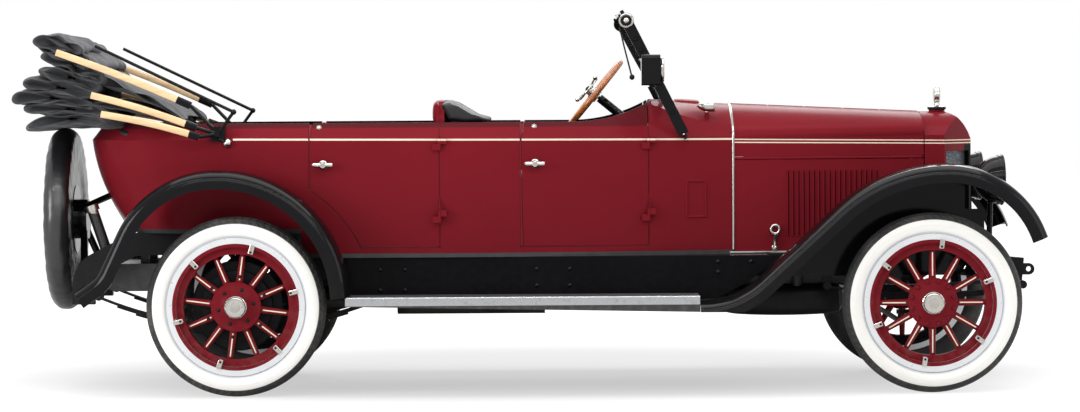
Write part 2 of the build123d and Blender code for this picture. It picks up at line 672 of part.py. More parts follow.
CORE_T = 70
with BuildPart() as radiator_core:
    with BuildSketch(Plane.XY.offset(RADIATOR_BOTTOM_Z + RADIATOR_WALL)):
        with BuildLine():
            half = HOOD_FRONT_HALF - RADIATOR_WALL - SEAM
            nose_back = (RADIATOR_WALL + SEAM) / cos(prow_turn)
            shoulder_x = RADIATOR_SIDE_X - nose_back + (RADIATOR_WALL + SEAM) * tan(prow_turn)
            Polyline((shoulder_x - CORE_T, half), (shoulder_x, half), (PROW_X - nose_back, 0), (shoulder_x, -half),
                     (shoulder_x - CORE_T, -half), (PROW_X - nose_back - CORE_T, 0), close=True)
        make_face()
    extrude(amount=GRILLE_TOP_Z - RADIATOR_BOTTOM_Z - RADIATOR_WALL - SEAM)
save(radiator_core, "radiator_core")

# Radiator cap with the round heat gauge standing on it
CAP_R = 46
GAUGE_R = 40
GAUGE_Z = 1432
GAUGE_T = 30
with BuildPart() as radiator_cap:
    with BuildSketch(Plane.XZ):
        with BuildLine():
            Polyline((CAP_X, HOOD_TOP_FRONT_Z), (CAP_X + CAP_R - 6, HOOD_TOP_FRONT_Z),
                     (CAP_X + CAP_R - 6, HOOD_TOP_FRONT_Z + 8), (CAP_X + CAP_R, HOOD_TOP_FRONT_Z + 10),
                     (CAP_X + CAP_R, HOOD_TOP_FRONT_Z + 22), (CAP_X + 16, HOOD_TOP_FRONT_Z + 30),
                     (CAP_X + 11, GAUGE_Z - GAUGE_R + 6), (CAP_X, GAUGE_Z - GAUGE_R + 6), close=True)
        make_face()
    revolve(axis=Axis((CAP_X, 0, 0), (0, 0, 1)))
    with BuildSketch(Plane.XZ):
        with BuildLine():
            rim = TangentArc((CAP_X - GAUGE_T / 2, GAUGE_Z + GAUGE_R - 8), (CAP_X - GAUGE_T / 2 + 8, GAUGE_Z + GAUGE_R),
                             tangent=(0, 1))
            face = TangentArc((CAP_X + GAUGE_T / 2 - 8, GAUGE_Z + GAUGE_R), (CAP_X + GAUGE_T / 2, GAUGE_Z + GAUGE_R - 8),
                              tangent=(1, 0))
            Line(rim @ 1, face @ 0)
            Polyline(face @ 1, (CAP_X + GAUGE_T / 2, GAUGE_Z), (CAP_X - GAUGE_T / 2, GAUGE_Z), rim @ 0)
        make_face()
    revolve(axis=Axis((0, 0, GAUGE_Z), (1, 0, 0)))
save(radiator_cap, "radiator_cap")

# Head lamps on posts from the rails, and their lenses
LAMP_L = 150
LENS_T = 10
with BuildPart() as headlamps:
    with BuildSketch(Plane.XZ.offset(LAMP_Y)):
        with BuildLine():
            bowl = ThreePointArc((LAMP_X - LAMP_L, LAMP_Z), (LAMP_X - LAMP_L * 0.66, LAMP_Z + LAMP_R * 0.72),
                                 (LAMP_X - 28, LAMP_Z + LAMP_R - 6))
            Polyline(bowl @ 1, (LAMP_X - 28, LAMP_Z + LAMP_R), (LAMP_X, LAMP_Z + LAMP_R),
                     (LAMP_X, LAMP_Z + LAMP_R - 10), (LAMP_X - LENS_T - 2, LAMP_Z + LAMP_R - 10),
                     (LAMP_X - LENS_T - 2, LAMP_Z), bowl @ 0)
        make_face()
    revolve(axis=Axis((0, -LAMP_Y, LAMP_Z), (1, 0, 0)))
    rod((LAMP_X - 62, -LAMP_Y, LAMP_Z - LAMP_R + 20), (LAMP_X - 62, -SPRING_Y, RAIL_TOP_Z - 40), 14)
    mirror(about=Plane.XZ)
with BuildPart() as lenses:
    with BuildSketch(Plane.XZ.offset(LAMP_Y)):
        with BuildLine():
            dome = TangentArc((LAMP_X + 10, LAMP_Z), (LAMP_X - 2, LAMP_Z + LAMP_R - 10 - FIT), tangent=(0, 1))
            Polyline(dome @ 1, (LAMP_X - LENS_T - 2 + FIT, LAMP_Z + LAMP_R - 10 - FIT),
                     (LAMP_X - LENS_T - 2 + FIT, LAMP_Z), dome @ 0)
        make_face()
    revolve(axis=Axis((0, -LAMP_Y, LAMP_Z), (1, 0, 0)))
    mirror(about=Plane.XZ)
save(lenses, "lamp_lenses")

# Chassis rails, with a rise over the rear axle and a horn at each end
FRONT_SPRING_HALF = 480
REAR_SPRING_HALF = 700
HORN_X = REAR_AXLE_X - REAR_SPRING_HALF - SPRING_EYE_R - RAIL_DEPTH / 2 - FIT
RISE_XS = (TUB_STEP_X - 85, TUB_STEP_X - 300)
rail_front = (FRONT_AXLE_X + FRONT_SPRING_HALF, RAIL_Z - 29)
rear_rail_z = RAIL_Z + KICK_UP
with BuildPart() as chassis_rails:
    with BuildSketch(Plane.XZ.offset(RAIL_IN_Y)):
        with BuildLine() as rail_line:
            FilletPolyline(rail_front, (FRONT_AXLE_X + 150, RAIL_Z), (RISE_XS[0], RAIL_Z), (RISE_XS[1], rear_rail_z),
                           (HORN_X + 250, rear_rail_z), (HORN_X, rear_rail_z - 130), (HORN_X, 430),
                           radius=(600, 160, 160, 120, 120))
        trace(rail_line.line, line_width=RAIL_DEPTH)
    extrude(amount=RAIL_W)
    eye_zs = {"front": 500, "rear": 468}
    hangers = (
        (FRONT_AXLE_X - FRONT_SPRING_HALF, eye_zs["front"]),
        (REAR_AXLE_X + REAR_SPRING_HALF, eye_zs["rear"]),
    )
    for hanger_x, eye_z in hangers:
        block((hanger_x - 24, hanger_x + 24), (-RAIL_OUT_Y, -RAIL_IN_Y),
              (eye_z + SPRING_EYE_R + FIT, RAIL_Z - RAIL_DEPTH / 2 + 5))
    mirror(about=Plane.XZ)
save(chassis_rails, "chassis_rails")

with BuildPart() as headlamps_seated:
    add(headlamps.part)
    add(chassis_rails.part, mode=Mode.SUBTRACT)
save(headlamps_seated, "headlamps")

# Cross members: middle, low edge, high edge
CROSS_MEMBERS = (
    (2130, RAIL_Z - 35, RAIL_Z + 35),
    (-300, RAIL_Z - 40, RAIL_Z + 40),
    (-1900, rear_rail_z - 45, rear_rail_z + 35),
)
CROSS_W = 60
with BuildPart() as cross_members:
    for middle, low, high in CROSS_MEMBERS:
        block((middle - CROSS_W / 2, middle + CROSS_W / 2), (-RAIL_IN_Y, RAIL_IN_Y), (low, high))
save(cross_members, "cross_members")

# Tow eyes on the front horns
TOW_BORE_R = 13
TOW_EYE_R = 28
TOW_EYE_T = 22
tow_x = rail_front[0] + TOW_EYE_R + 2
tow_z = rail_front[1]
with BuildPart() as tow_eyes:
    with BuildSketch(Plane.XZ.offset(SPRING_Y - TOW_EYE_T / 2)):
        with Locations((tow_x, tow_z)):
            Circle(TOW_EYE_R)
        with Locations((tow_x - TOW_EYE_R / 2, tow_z)):
            Rectangle(TOW_EYE_R, 2 * TOW_EYE_R)
        with Locations((tow_x, tow_z)):
            Circle(TOW_BORE_R, mode=Mode.SUBTRACT)
    extrude(amount=TOW_EYE_T)
    mirror(about=Plane.XZ)
    add(chassis_rails.part, mode=Mode.SUBTRACT)
save(tow_eyes, "tow_eyes")

# Leaf springs: axle, half length, eye height, height of the main leaf at the axle, leaves
SPRINGS = (
    (FRONT_AXLE_X, FRONT_SPRING_HALF, eye_zs["front"], 462, 4),
    (REAR_AXLE_X, REAR_SPRING_HALF, eye_zs["rear"], 325, 6),
)
with BuildPart() as leaf_springs:
    for axle_x, half, eye_z, seat_z, leaves in SPRINGS:
        rise = eye_z - seat_z
        bend_r = (half**2 + rise**2) / (2 * rise)
        with BuildSketch(Plane.XZ.offset(SPRING_Y - SPRING_W / 2)):
            for leaf in range(leaves):
                reach = half * (1 - 0.8 * leaf / leaves)
                angle = asin(reach / bend_r)
                with BuildLine():
                    inner_r = bend_r + leaf * LEAF_T
                    outer_r = inner_r + LEAF_T
                    centre_z = seat_z + bend_r
                    tips = [(axle_x + r * sin(a), centre_z - r * cos(a))
                            for r, a in ((inner_r, -angle), (inner_r, angle), (outer_r, angle), (outer_r, -angle))]
                    ThreePointArc(tips[0], (axle_x, centre_z - inner_r), tips[1])
                    Line(tips[1], tips[2])
                    ThreePointArc(tips[2], (axle_x, centre_z - outer_r), tips[3])
                    Line(tips[3], tips[0])
                make_face()
            for eye_x in (axle_x - half, axle_x + half):
                with Locations((eye_x, eye_z)):
                    Circle(SPRING_EYE_R)
        extrude(amount=SPRING_W)
    mirror(about=Plane.XZ)
save(leaf_springs, "leaf_springs")

# Front axle: dropped beam with an upright boss at each kingpin
BEAM_T = 48
BEAM_LOW_Z = 372
front_seat_top = SPRINGS[0][3] - SPRINGS[0][4] * LEAF_T - FIT
with BuildPart() as front_axle:
    with BuildSketch(Plane.YZ.offset(FRONT_AXLE_X - BEAM_T / 2)):
        with BuildLine():
            Polyline((-KINGPIN_Y, TYRE_R + 26), (-KINGPIN_Y, TYRE_R - 26), (-KINGPIN_Y + 70, TYRE_R - 30),
                     (-KINGPIN_Y + 150, BEAM_LOW_Z), (KINGPIN_Y - 150, BEAM_LOW_Z), (KINGPIN_Y - 70, TYRE_R - 30),
                     (KINGPIN_Y, TYRE_R - 26), (KINGPIN_Y, TYRE_R + 26), (KINGPIN_Y - 60, TYRE_R + 20),
                     (SPRING_Y + 60, front_seat_top), (-SPRING_Y - 60, front_seat_top),
                     (-KINGPIN_Y + 60, TYRE_R + 20), close=True)
        make_face()
    extrude(amount=BEAM_T)
    for side_name, side in SIDES:
        with Locations((FRONT_AXLE_X, side * KINGPIN_Y, TYRE_R)):
            Cylinder(BOSS_R, BOSS_H)
            Cylinder(KINGPIN_R + FIT, BOSS_H, mode=Mode.SUBTRACT)
save(front_axle, "front_axle")

# Rear axle: tubes, differential, torque tube, brake plates and spring pads
AXLE_STUB_R = 24
PLATE_R = 165
BRAKE_PLATE_Y = TRACK / 2 - HUB_IN - DRUM_W
GEARBOX_X = 500
GEARBOX_Z = 520
with BuildPart() as rear_axle:
    rod((REAR_AXLE_X, -BRAKE_PLATE_Y + 12, TYRE_R), (REAR_AXLE_X, BRAKE_PLATE_Y - 12, TYRE_R), AXLE_TUBE_R)
    rod((REAR_AXLE_X, -TRACK / 2 - HUB_OUT + 6, TYRE_R), (REAR_AXLE_X, TRACK / 2 + HUB_OUT - 6, TYRE_R), AXLE_STUB_R)
    with Locations((REAR_AXLE_X, 0, TYRE_R)):
        Sphere(DIFF_R)
    rod((REAR_AXLE_X, 0, TYRE_R), (GEARBOX_X - 2, 0, GEARBOX_Z), 42)
    for side_name, side in SIDES:
        plate_y = side * BRAKE_PLATE_Y
        rod((REAR_AXLE_X, plate_y - side * 14, TYRE_R), (REAR_AXLE_X, plate_y - side * 3, TYRE_R), PLATE_R)
        block((REAR_AXLE_X - 50, REAR_AXLE_X + 50), (side * SPRING_Y - 30, side * SPRING_Y + 30),
              (SPRINGS[1][3] + 2, TYRE_R))
save(rear_axle, "rear_axle")

# Engine and gearbox as one block, with its bearer arms
with BuildPart() as engine:
    block((1100, 1830), (-150, 150), (640, 1050))
    block((1060, 1850), (-190, 190), (500, 660))
    block((GEARBOX_X, 1060), (-130, 130), (430, RAIL_TOP_Z - 10))
    for arm_x in (1150, 1760):
        block((arm_x, arm_x + 50), (-RAIL_IN_Y, RAIL_IN_Y), (RAIL_Z - 45, RAIL_Z - 5))
    fillet(engine.edges().filter_by(Axis.X).group_by(Axis.Z)[-1], radius=40)
save(engine, "engine")

# Exhaust down the right side, ending ahead of the rear axle
EXHAUST_Y = -190 - 26 - FIT
EXHAUST_Z = 425
with BuildPart() as exhaust:
    with BuildLine() as pipe_line:
        FilletPolyline((1330, EXHAUST_Y, 640), (1330, EXHAUST_Y, EXHAUST_Z), (-1160, EXHAUST_Y, EXHAUST_Z), radius=90)
    with BuildSketch(Plane(origin=pipe_line.line @ 0, z_dir=pipe_line.line % 0)):
        Circle(26)
    sweep()
    rod((-650, EXHAUST_Y, EXHAUST_Z), (80, EXHAUST_Y, EXHAUST_Z), 62)
    block((-312, -288), (EXHAUST_Y - 12, EXHAUST_Y + 12), (EXHAUST_Z + 40, RAIL_Z - 40))
save(exhaust, "exhaust")

# Fuel tank with its filler neck
TANK_X = (-2090, -1740)
TANK_Z = (490, 625)
with BuildPart() as fuel_tank:
    block(TANK_X, (-325, 325), TANK_Z)
    fillet(fuel_tank.edges().filter_by(Axis.Y), radius=55)
    for strap_y in (-200, 200):
        block((-1920, -1880), (strap_y - 20, strap_y + 20), (TANK_Z[1] - 10, rear_rail_z - 45))
    rod((-2050, -290, TANK_Z[1] - 30), (-2148, -290, 890), 27)
    rod((-2146, -290, 884), (-2156, -290, 912), 36)
save(fuel_tank, "fuel_tank")

# Front fender: crown, inner web and outer lip carried along the line of the wing
RAMP_FOOT_X = 994
RAMP_TOP_X = 1705
FENDER_BROW_X = 2355
CROWN_REACH = 8.6
FENDER_TIP = (NOSE_X - CROWN_REACH, 752)
WEB_DROP = 26
fender_front_z = BOARD_FRONT_Z - 4


def fender_section(plane, in_y, web_y):
    """Cross section of a fender: a rolled outer lip, a crowned top and a web to the frame if it has one."""
    lip_y = -FENDER_OUT_Y
    with BuildSketch(plane) as section:
        with BuildLine() as skin:
            Line((lip_y, -FENDER_LIP), (lip_y, -48))
            turn = TangentArc((lip_y, -48), (lip_y + 62, -4), tangent=(0, 1))
            crown = ThreePointArc(turn @ 1, ((lip_y + 62 - in_y) / 2, 6), (-in_y, -12))
            if web_y:
                Line(crown @ 1, (-web_y, -WEB_DROP))
        trace(skin.line, line_width=FENDER_T)
    return section.sketch


with BuildPart() as front_fender_form:
    with BuildLine(Plane.XZ) as wing_line:
        FilletPolyline((BOARD_FRONT_X + FIT, fender_front_z), (RAMP_FOOT_X, fender_front_z),
                       (RAMP_TOP_X, FENDER_TOP_Z), (FENDER_BROW_X, FENDER_TOP_Z), FENDER_TIP,
                       radius=(410, 775, 500))
    start = Plane(origin=wing_line.line @ 0, x_dir=(0, 1, 0), z_dir=wing_line.line % 0)
    sweep(sections=fender_section(start, FRONT_FENDER_IN_Y, RAIL_OUT_Y + FENDER_T / 2 + FIT), path=wing_line.line)
    block((BOARD_FRONT_X - 10, RAMP_FOOT_X + 200), (-FENDER_OUT_Y - 20, 0), (0, BOARD_FRONT_Z - BOARD_T),
          mode=Mode.SUBTRACT)
    block((LAMP_BAY_X, NOSE_X + 50), (-FRONT_FENDER_IN_Y + 2, 0), (0, FENDER_TOP_Z + 50), mode=Mode.SUBTRACT)

with BuildPart() as valance:
    with BuildSketch(Plane.XZ.offset(RAIL_OUT_Y + FIT)):
        with BuildLine():
            low_z = RAIL_Z - RAIL_DEPTH / 2
            ramp_run = (low_z - fender_front_z) * (RAMP_TOP_X - RAMP_FOOT_X) / (FENDER_TOP_Z - fender_front_z)
            FilletPolyline((RAMP_FOOT_X + ramp_run + 60, low_z), (RAMP_TOP_X, FENDER_TOP_Z - WEB_DROP),
                           (FENDER_BROW_X, FENDER_TOP_Z - WEB_DROP), (NOSE_X - 20, 742), (NOSE_X - 20, low_z), close=True,
                           radius=(0, 760, 480, 0, 0))
        make_face()
        with Locations((VALANCE_FRONT_X, low_z - 10)):
            Rectangle(600, 900, align=(Align.MIN, Align.MIN), mode=Mode.SUBTRACT)
        with Locations((LAMP_BAY_X, LAMP_Z - LAMP_R - 20)):
            Rectangle(600, 900, align=(Align.MIN, Align.MIN), mode=Mode.SUBTRACT)
    extrude(amount=FENDER_T)

with BuildPart() as front_fenders:
    add(front_fender_form.part)
    add(valance.part)
    mirror(about=Plane.XZ)
save(front_fenders, "front_fenders")

# Rear fender: over the wheel and down to a flared tail
REAR_ARCH_R = 620
rear_start = (-868, BOARD_REAR_Z + 2)
with BuildPart() as rear_fenders:
    with BuildLine(Plane.XZ) as tail_line:
        FilletPolyline(rear_start, (-920, REAR_FENDER_TOP_Z), (-1831, REAR_FENDER_TOP_Z), (-2065, 582), (-2172, 505),
                       radius=(REAR_ARCH_R, 515, 120))
    start = Plane(origin=tail_line.line @ 0, x_dir=(0, 1, 0), z_dir=tail_line.line % 0)
    with BuildSketch(start):
        with BuildLine() as skin:
            lip_y = -FENDER_OUT_Y
            Line((lip_y, FENDER_LIP), (lip_y, 48))
            turn = TangentArc((lip_y, 48), (lip_y + 62, 4), tangent=(0, -1))
            ThreePointArc(turn @ 1, ((lip_y + 62 - REAR_FENDER_IN_Y) / 2, -6), (-REAR_FENDER_IN_Y, 12))
        trace(skin.line, line_width=FENDER_T)
    sweep(path=tail_line.line)
    mirror(about=Plane.XZ)
    add(body_clear.part, mode=Mode.SUBTRACT)
save(rear_fenders, "rear_fenders")

# Running boards, falling slightly towards the front
with BuildPart() as running_boards:
    with BuildSketch(Plane.XZ.offset(APRON_Y + APRON_T)):
        with BuildLine():
            Polyline((BOARD_REAR_X, BOARD_REAR_Z), (BOARD_FRONT_X, BOARD_FRONT_Z),
                     (BOARD_FRONT_X, BOARD_FRONT_Z - BOARD_T), (BOARD_REAR_X, BOARD_REAR_Z - BOARD_T), close=True)
        make_face()
    extrude(amount=BOARD_OUT_Y - APRON_Y - APRON_T)
    mirror(about=Plane.XZ)
save(running_boards, "running_boards")

# Splash aprons between body and boards, with a ledge under the body's edge
ramp_slope = (FENDER_TOP_Z - fender_front_z) / (RAMP_TOP_X - RAMP_FOOT_X)
apron_front_x = RAMP_FOOT_X + (RAIL_TOP_Z - fender_front_z) / ramp_slope - 8
with BuildPart() as splash_aprons:
    with BuildSketch(Plane.XZ.offset(APRON_Y)):
        with BuildLine():
            Polyline((BOARD_REAR_X, RAIL_TOP_Z), (apron_front_x, RAIL_TOP_Z), (RAMP_FOOT_X + 70, 530),
                     (RAMP_FOOT_X - 60, 463), (BOARD_FRONT_X, BOARD_FRONT_Z), (BOARD_FRONT_X, BOARD_FRONT_Z - BOARD_T / 2),
                     (BOARD_REAR_X, BOARD_REAR_Z - BOARD_T / 2), close=True)
        make_face()
    extrude(amount=APRON_T)
    block((BOARD_REAR_X, apron_front_x - 60), (-APRON_Y - 1, -RAIL_OUT_Y), (RAIL_TOP_Z - 4, RAIL_TOP_Z))
    mirror(about=Plane.XZ)
save(splash_aprons, "splash_aprons")

# Windshield in its leaning plane
lean = radians(SHIELD_TILT)
shield_up = (-sin(lean), 0, cos(lean))
shield_half = body_half(SHIELD_FOOT_X) + 12
shield_plane = Plane(origin=(SHIELD_FOOT_X, 0, SHIELD_FOOT_Z), x_dir=(0, 1, 0), z_dir=(cos(lean), 0, sin(lean)))
SHIELD_LOW = 190
SHIELD_MID = 400
with BuildPart() as windshield_frame:
    with BuildSketch(shield_plane.offset(-9)):
        for side_name, side in SIDES:
            with Locations((side * shield_half, SHIELD_H / 2 - 20)):
                Rectangle(SHIELD_BAR, SHIELD_H + 40)
        for bar_v in (SHIELD_LOW, SHIELD_MID, SHIELD_H - SHIELD_BAR / 2):
            with Locations((0, bar_v)):
                Rectangle(2 * shield_half, SHIELD_BAR * 0.7)
    extrude(amount=18)
    with BuildSketch(shield_plane.offset(-26)):
        for side_name, side in SIDES:
            with Locations((side * (shield_half - 1), 120)):
                Rectangle(SHIELD_BAR - 2, 270)
    extrude(amount=52)
    add(body_clear.part, mode=Mode.SUBTRACT)
save(windshield_frame, "windshield_frame")

with BuildPart() as windshield_glass:
    with BuildSketch(shield_plane.offset(-3)):
        for low, high in ((SHIELD_LOW, SHIELD_MID), (SHIELD_MID, SHIELD_H - SHIELD_BAR / 2)):
            edge = SHIELD_BAR * 0.35 + FIT
            with Locations((0, (low + high) / 2)):
                Rectangle(2 * (shield_half - SHIELD_BAR / 2 - FIT - 12), high - low - 2 * edge)
    extrude(amount=6)
save(windshield_glass, "windshield_glass")

# Box-shaped lamp on the right windshield post
SPOT_XZ = (598, 1562)
with BuildPart() as spot_lamp:
    with Locations((SPOT_XZ[0], -shield_half - SHIELD_BAR / 2 - 62, SPOT_XZ[1])):
        Box(92, 110, 150)
    fillet(spot_lamp.edges().filter_by(Axis.X), radius=18)
    rod((SPOT_XZ[0] + 46, -shield_half - SHIELD_BAR / 2 - 62, SPOT_XZ[1]),
        (SPOT_XZ[0] + 60, -shield_half - SHIELD_BAR / 2 - 62, SPOT_XZ[1]), 52)
    rod((SPOT_XZ[0], -shield_half - SHIELD_BAR / 2 - 20, SPOT_XZ[1]),
        (SPOT_XZ[0], -shield_half, SPOT_XZ[1]), 12)
    add(windshield_frame.part, mode=Mode.SUBTRACT)
save(spot_lamp, "spot_lamp")

# Bullet lamps on the cowl
COWL_LAMP = (916, 352, 1386)
COWL_LAMP_R = 30
COWL_LAMP_L = 88
with BuildPart() as cowl_lamps:
    with BuildSketch(Plane.XZ.offset(COWL_LAMP[1])):
        with BuildLine():
            lamp_x, lamp_y, lamp_z = COWL_LAMP
            nose = ThreePointArc((lamp_x - COWL_LAMP_L, lamp_z), (lamp_x - COWL_LAMP_L * 0.66, lamp_z + COWL_LAMP_R * 0.8),
                                 (lamp_x - 18, lamp_z + COWL_LAMP_R))
            Polyline(nose @ 1, (lamp_x, lamp_z + COWL_LAMP_R), (lamp_x, lamp_z), nose @ 0)
        make_face()
    revolve(axis=Axis((0, -COWL_LAMP[1], COWL_LAMP[2]), (1, 0, 0)))
    rod((lamp_x - 36, -lamp_y, lamp_z - 10), (lamp_x - 36, -lamp_y, lamp_z - 110), 11)
    mirror(about=Plane.XZ)
    add(body_clear.part, mode=Mode.SUBTRACT)
save(cowl_lamps, "cowl_lamps")

# Folded top: bundled cloth, the wood bows that run into it and the irons that carry them
TOP_HALF = 660
TOP_SEAT_Z = BODY_TOP_Z + FIT
with BuildPart() as top_cloth:
    with BuildSketch(Plane.XZ.offset(-TOP_HALF)):
        with BuildLine():
            FilletPolyline((-1978, TOP_SEAT_Z), (-2330, TOP_SEAT_Z), (TAIL_X, 1370), (TAIL_X, 1545),
                           (-2375, 1562), (-2412, 1760), (-2180, 1760), (-2040, 1640), (-2040, 1540), (-1975, 1450),
                           close=True, radius=(20, 60, 40, 40, 24, 50, 50, 60, 40, 40))
        make_face()
    extrude(amount=2 * TOP_HALF)
    fillet(top_cloth.faces().sort_by(Axis.Y)[0].edges(), radius=14)
    fillet(top_cloth.faces().sort_by(Axis.Y)[-1].edges(), radius=14)
save(top_cloth, "top_cloth")

BOW_T = 22
# Bows of one side, outside the body: front end, back end, place across the car
BOWS = (
    ((-1588, 1251), (-2010, 1352), 640),
    ((-1603, 1295), (-2089, 1449), 615),
    ((-1631, 1402), (-2273, 1661), 590),
)
with BuildPart() as top_bows:
    for front, back, y in BOWS:
        length = hypot(front[0] - back[0], front[1] - back[1])
        pitch = degrees(atan((back[1] - front[1]) / (front[0] - back[0])))
        with Locations(Location(((front[0] + back[0]) / 2, -y, (front[1] + back[1]) / 2), (0, pitch, 0))):
            Box(length, BOW_T, BOW_T + 8)
    mirror(about=Plane.XZ)
    add(top_cloth.part, mode=Mode.SUBTRACT)
save(top_bows, "top_bows")

IRON_PIVOT = (-1500, 1265)
IRON_ELBOW = (-1423, 1371)
IRON_END = (-2090, 1694)
IRON_Y = 600
IRON_R = 8
with BuildPart() as top_irons:
    pivot_x, pivot_z = IRON_PIVOT
    block((pivot_x - 35, pivot_x + 35), (-IRON_Y, -IRON_Y + 60), (pivot_z - 37, pivot_z + 35))
    rod((pivot_x, -IRON_Y + 40, pivot_z), (pivot_x, -BOWS[0][2] - BOW_T / 2, pivot_z), 15)
    for front, back, y in BOWS:
        rod((pivot_x, -y, pivot_z), (front[0], -y, front[1]), IRON_R + 1)
    rod((pivot_x, -IRON_Y, pivot_z), (IRON_ELBOW[0], -IRON_Y, IRON_ELBOW[1]), IRON_R)
    rod((IRON_ELBOW[0], -IRON_Y, IRON_ELBOW[1]), (IRON_END[0], -IRON_Y, IRON_END[1]), IRON_R)
    with Locations((IRON_ELBOW[0], -IRON_Y, IRON_ELBOW[1])):
        Sphere(IRON_R + 6)
    mirror(about=Plane.XZ)
    add(top_cloth.part, mode=Mode.SUBTRACT)
    add(top_bows.part, mode=Mode.SUBTRACT)
    add(body_clear.part, mode=Mode.SUBTRACT)
save(top_irons, "top_irons")

# Spare wheel in its cover, and the carrier behind the body
with BuildPart() as spare_wheel:
    with Locations(Location((SPARE_X, 0, SPARE_Z), (0, 90, 0))):
        Cylinder(SPARE_R, SPARE_W)
    fillet(spare_wheel.edges().filter_by(GeomType.CIRCLE), radius=48)
    with Locations(Location((SPARE_X + SPARE_W / 2, 0, SPARE_Z), (0, 90, 0))):
        Cylinder(300, 60, mode=Mode.SUBTRACT)
save(spare_wheel, "spare_wheel")

CARRIER_X = SPARE_X + SPARE_W / 2 - 30
STRUT_X = SPARE_X + SPARE_W / 2 + 30
with BuildPart() as spare_carrier:
    rod((CARRIER_X + FIT, 0, SPARE_Z), (CARRIER_X + 20, 0, SPARE_Z), 170)
    rod((CARRIER_X + FIT, 0, SPARE_Z), (STRUT_X + 16, 0, SPARE_Z), 100)
    for side_name, side in SIDES:
        rod((STRUT_X, side * 60, SPARE_Z + 60), (-1960, side * 200, 1010), 14)
        rod((STRUT_X, side * 60, SPARE_Z - 60), (HORN_X, side * (RAIL_IN_Y + 10), 600), 18)
    add(body_clear.part, mode=Mode.SUBTRACT)
    add(chassis_rails.part, mode=Mode.SUBTRACT)
save(spare_carrier, "spare_carrier")

# Steering column and wheel
tilt = radians(STEER_TILT)
column_up = (-sin(tilt), 0, cos(tilt))
hub = Vector(*STEER_HUB)
steer_plane = Plane(origin=STEER_HUB, x_dir=(0, 1, 0), z_dir=column_up)
column_l = (FIREWALL_X - STEER_HUB[0]) / sin(tilt) - COLUMN_R
SHAFT_R = 9
with BuildPart() as steering_column:
    with BuildSketch(steer_plane.offset(-30)):
        Circle(COLUMN_R)
    extrude(amount=-(column_l - 30))
    with BuildSketch(steer_plane.offset(-30)):
        Circle(SHAFT_R)
    extrude(amount=45)
    foot = hub - Vector(*column_up) * column_l
    block((FIREWALL_X - 60, FIREWALL_X), (foot.Y - 30, foot.Y + 30), (foot.Z - 50, foot.Z + 40))
save(steering_column, "steering_column")

STEER_SPOKES = 4
with BuildPart() as steering_wheel:
    with BuildSketch(Plane(origin=STEER_HUB, x_dir=(0, 1, 0), z_dir=(cos(tilt), 0, sin(tilt)))):
        with Locations((STEER_RIM_R, 0)):
            Ellipse(STEER_RIM_T, STEER_RIM_T * 0.8)
    revolve(axis=Axis(STEER_HUB, column_up))
    with BuildSketch(steer_plane.offset(-24)):
        Circle(34)
        Circle(SHAFT_R + FIT, mode=Mode.SUBTRACT)
    extrude(amount=44)
    with Locations(steer_plane):
        with PolarLocations((STEER_RIM_R + 24) / 2, STEER_SPOKES, 45):
            Box(STEER_RIM_R - 34, 18, 9)
    with BuildSketch(steer_plane.offset(18)):
        Circle(26)
    extrude(amount=12)
save(steering_wheel, "steering_wheel")

# Steered knuckles: kingpin, yoke round the axle's boss, spindle and steering arm
with BuildPart() as knuckle_form:
    top_z = TYRE_R + BOSS_H / 2 + FIT
    low_z = TYRE_R - BOSS_H / 2 - FIT
    with Locations((FRONT_AXLE_X, -KINGPIN_Y, TYRE_R)):
        Cylinder(KINGPIN_R, BOSS_H + 2 * YOKE_T)
    web_y = -KINGPIN_Y - BOSS_R - 2
    for zs in ((top_z, top_z + YOKE_T), (low_z - YOKE_T, low_z)):
        block((FRONT_AXLE_X - 26, FRONT_AXLE_X + 26), (web_y - YOKE_WEB, -KINGPIN_Y + 24), zs)
    block((FRONT_AXLE_X - 26, FRONT_AXLE_X + 26), (web_y - YOKE_WEB, web_y), (low_z - YOKE_T, top_z + YOKE_T))
    rod((FRONT_AXLE_X, web_y, TYRE_R), (FRONT_AXLE_X, -TRACK / 2 - HUB_OUT + 6, TYRE_R), SPINDLE_R)
    block((FRONT_AXLE_X - STEER_ARM - 14, FRONT_AXLE_X - 20), (-KINGPIN_Y - 14, -KINGPIN_Y + 14),
          (low_z - YOKE_T, low_z - 4))
    rod((FRONT_AXLE_X - STEER_ARM, -KINGPIN_Y, low_z - YOKE_T + 4),
        (FRONT_AXLE_X - STEER_ARM, -KINGPIN_Y, TIE_PIN_Z - TIE_EYE_H / 2 - 4), TIE_PIN_R)
for side_name, side in SIDES:
    with BuildPart() as knuckle:
        add(knuckle_form.part)
        if side > 0:
            mirror(about=Plane.XZ, mode=Mode.REPLACE)
    save(knuckle, f"knuckle_{side_name}")

with BuildPart() as tie_rod:
    tie_x = FRONT_AXLE_X - STEER_ARM
    rod((tie_x, -KINGPIN_Y, TIE_PIN_Z), (tie_x, KINGPIN_Y, TIE_PIN_Z), TIE_ROD_R)
    for side_name, side in SIDES:
        with Locations((tie_x, side * KINGPIN_Y, TIE_PIN_Z)):
            Cylinder(TIE_EYE_R, TIE_EYE_H)
            Cylinder(TIE_PIN_R + FIT, TIE_EYE_H * 2, mode=Mode.SUBTRACT)
save(tie_rod, "tie_rod")

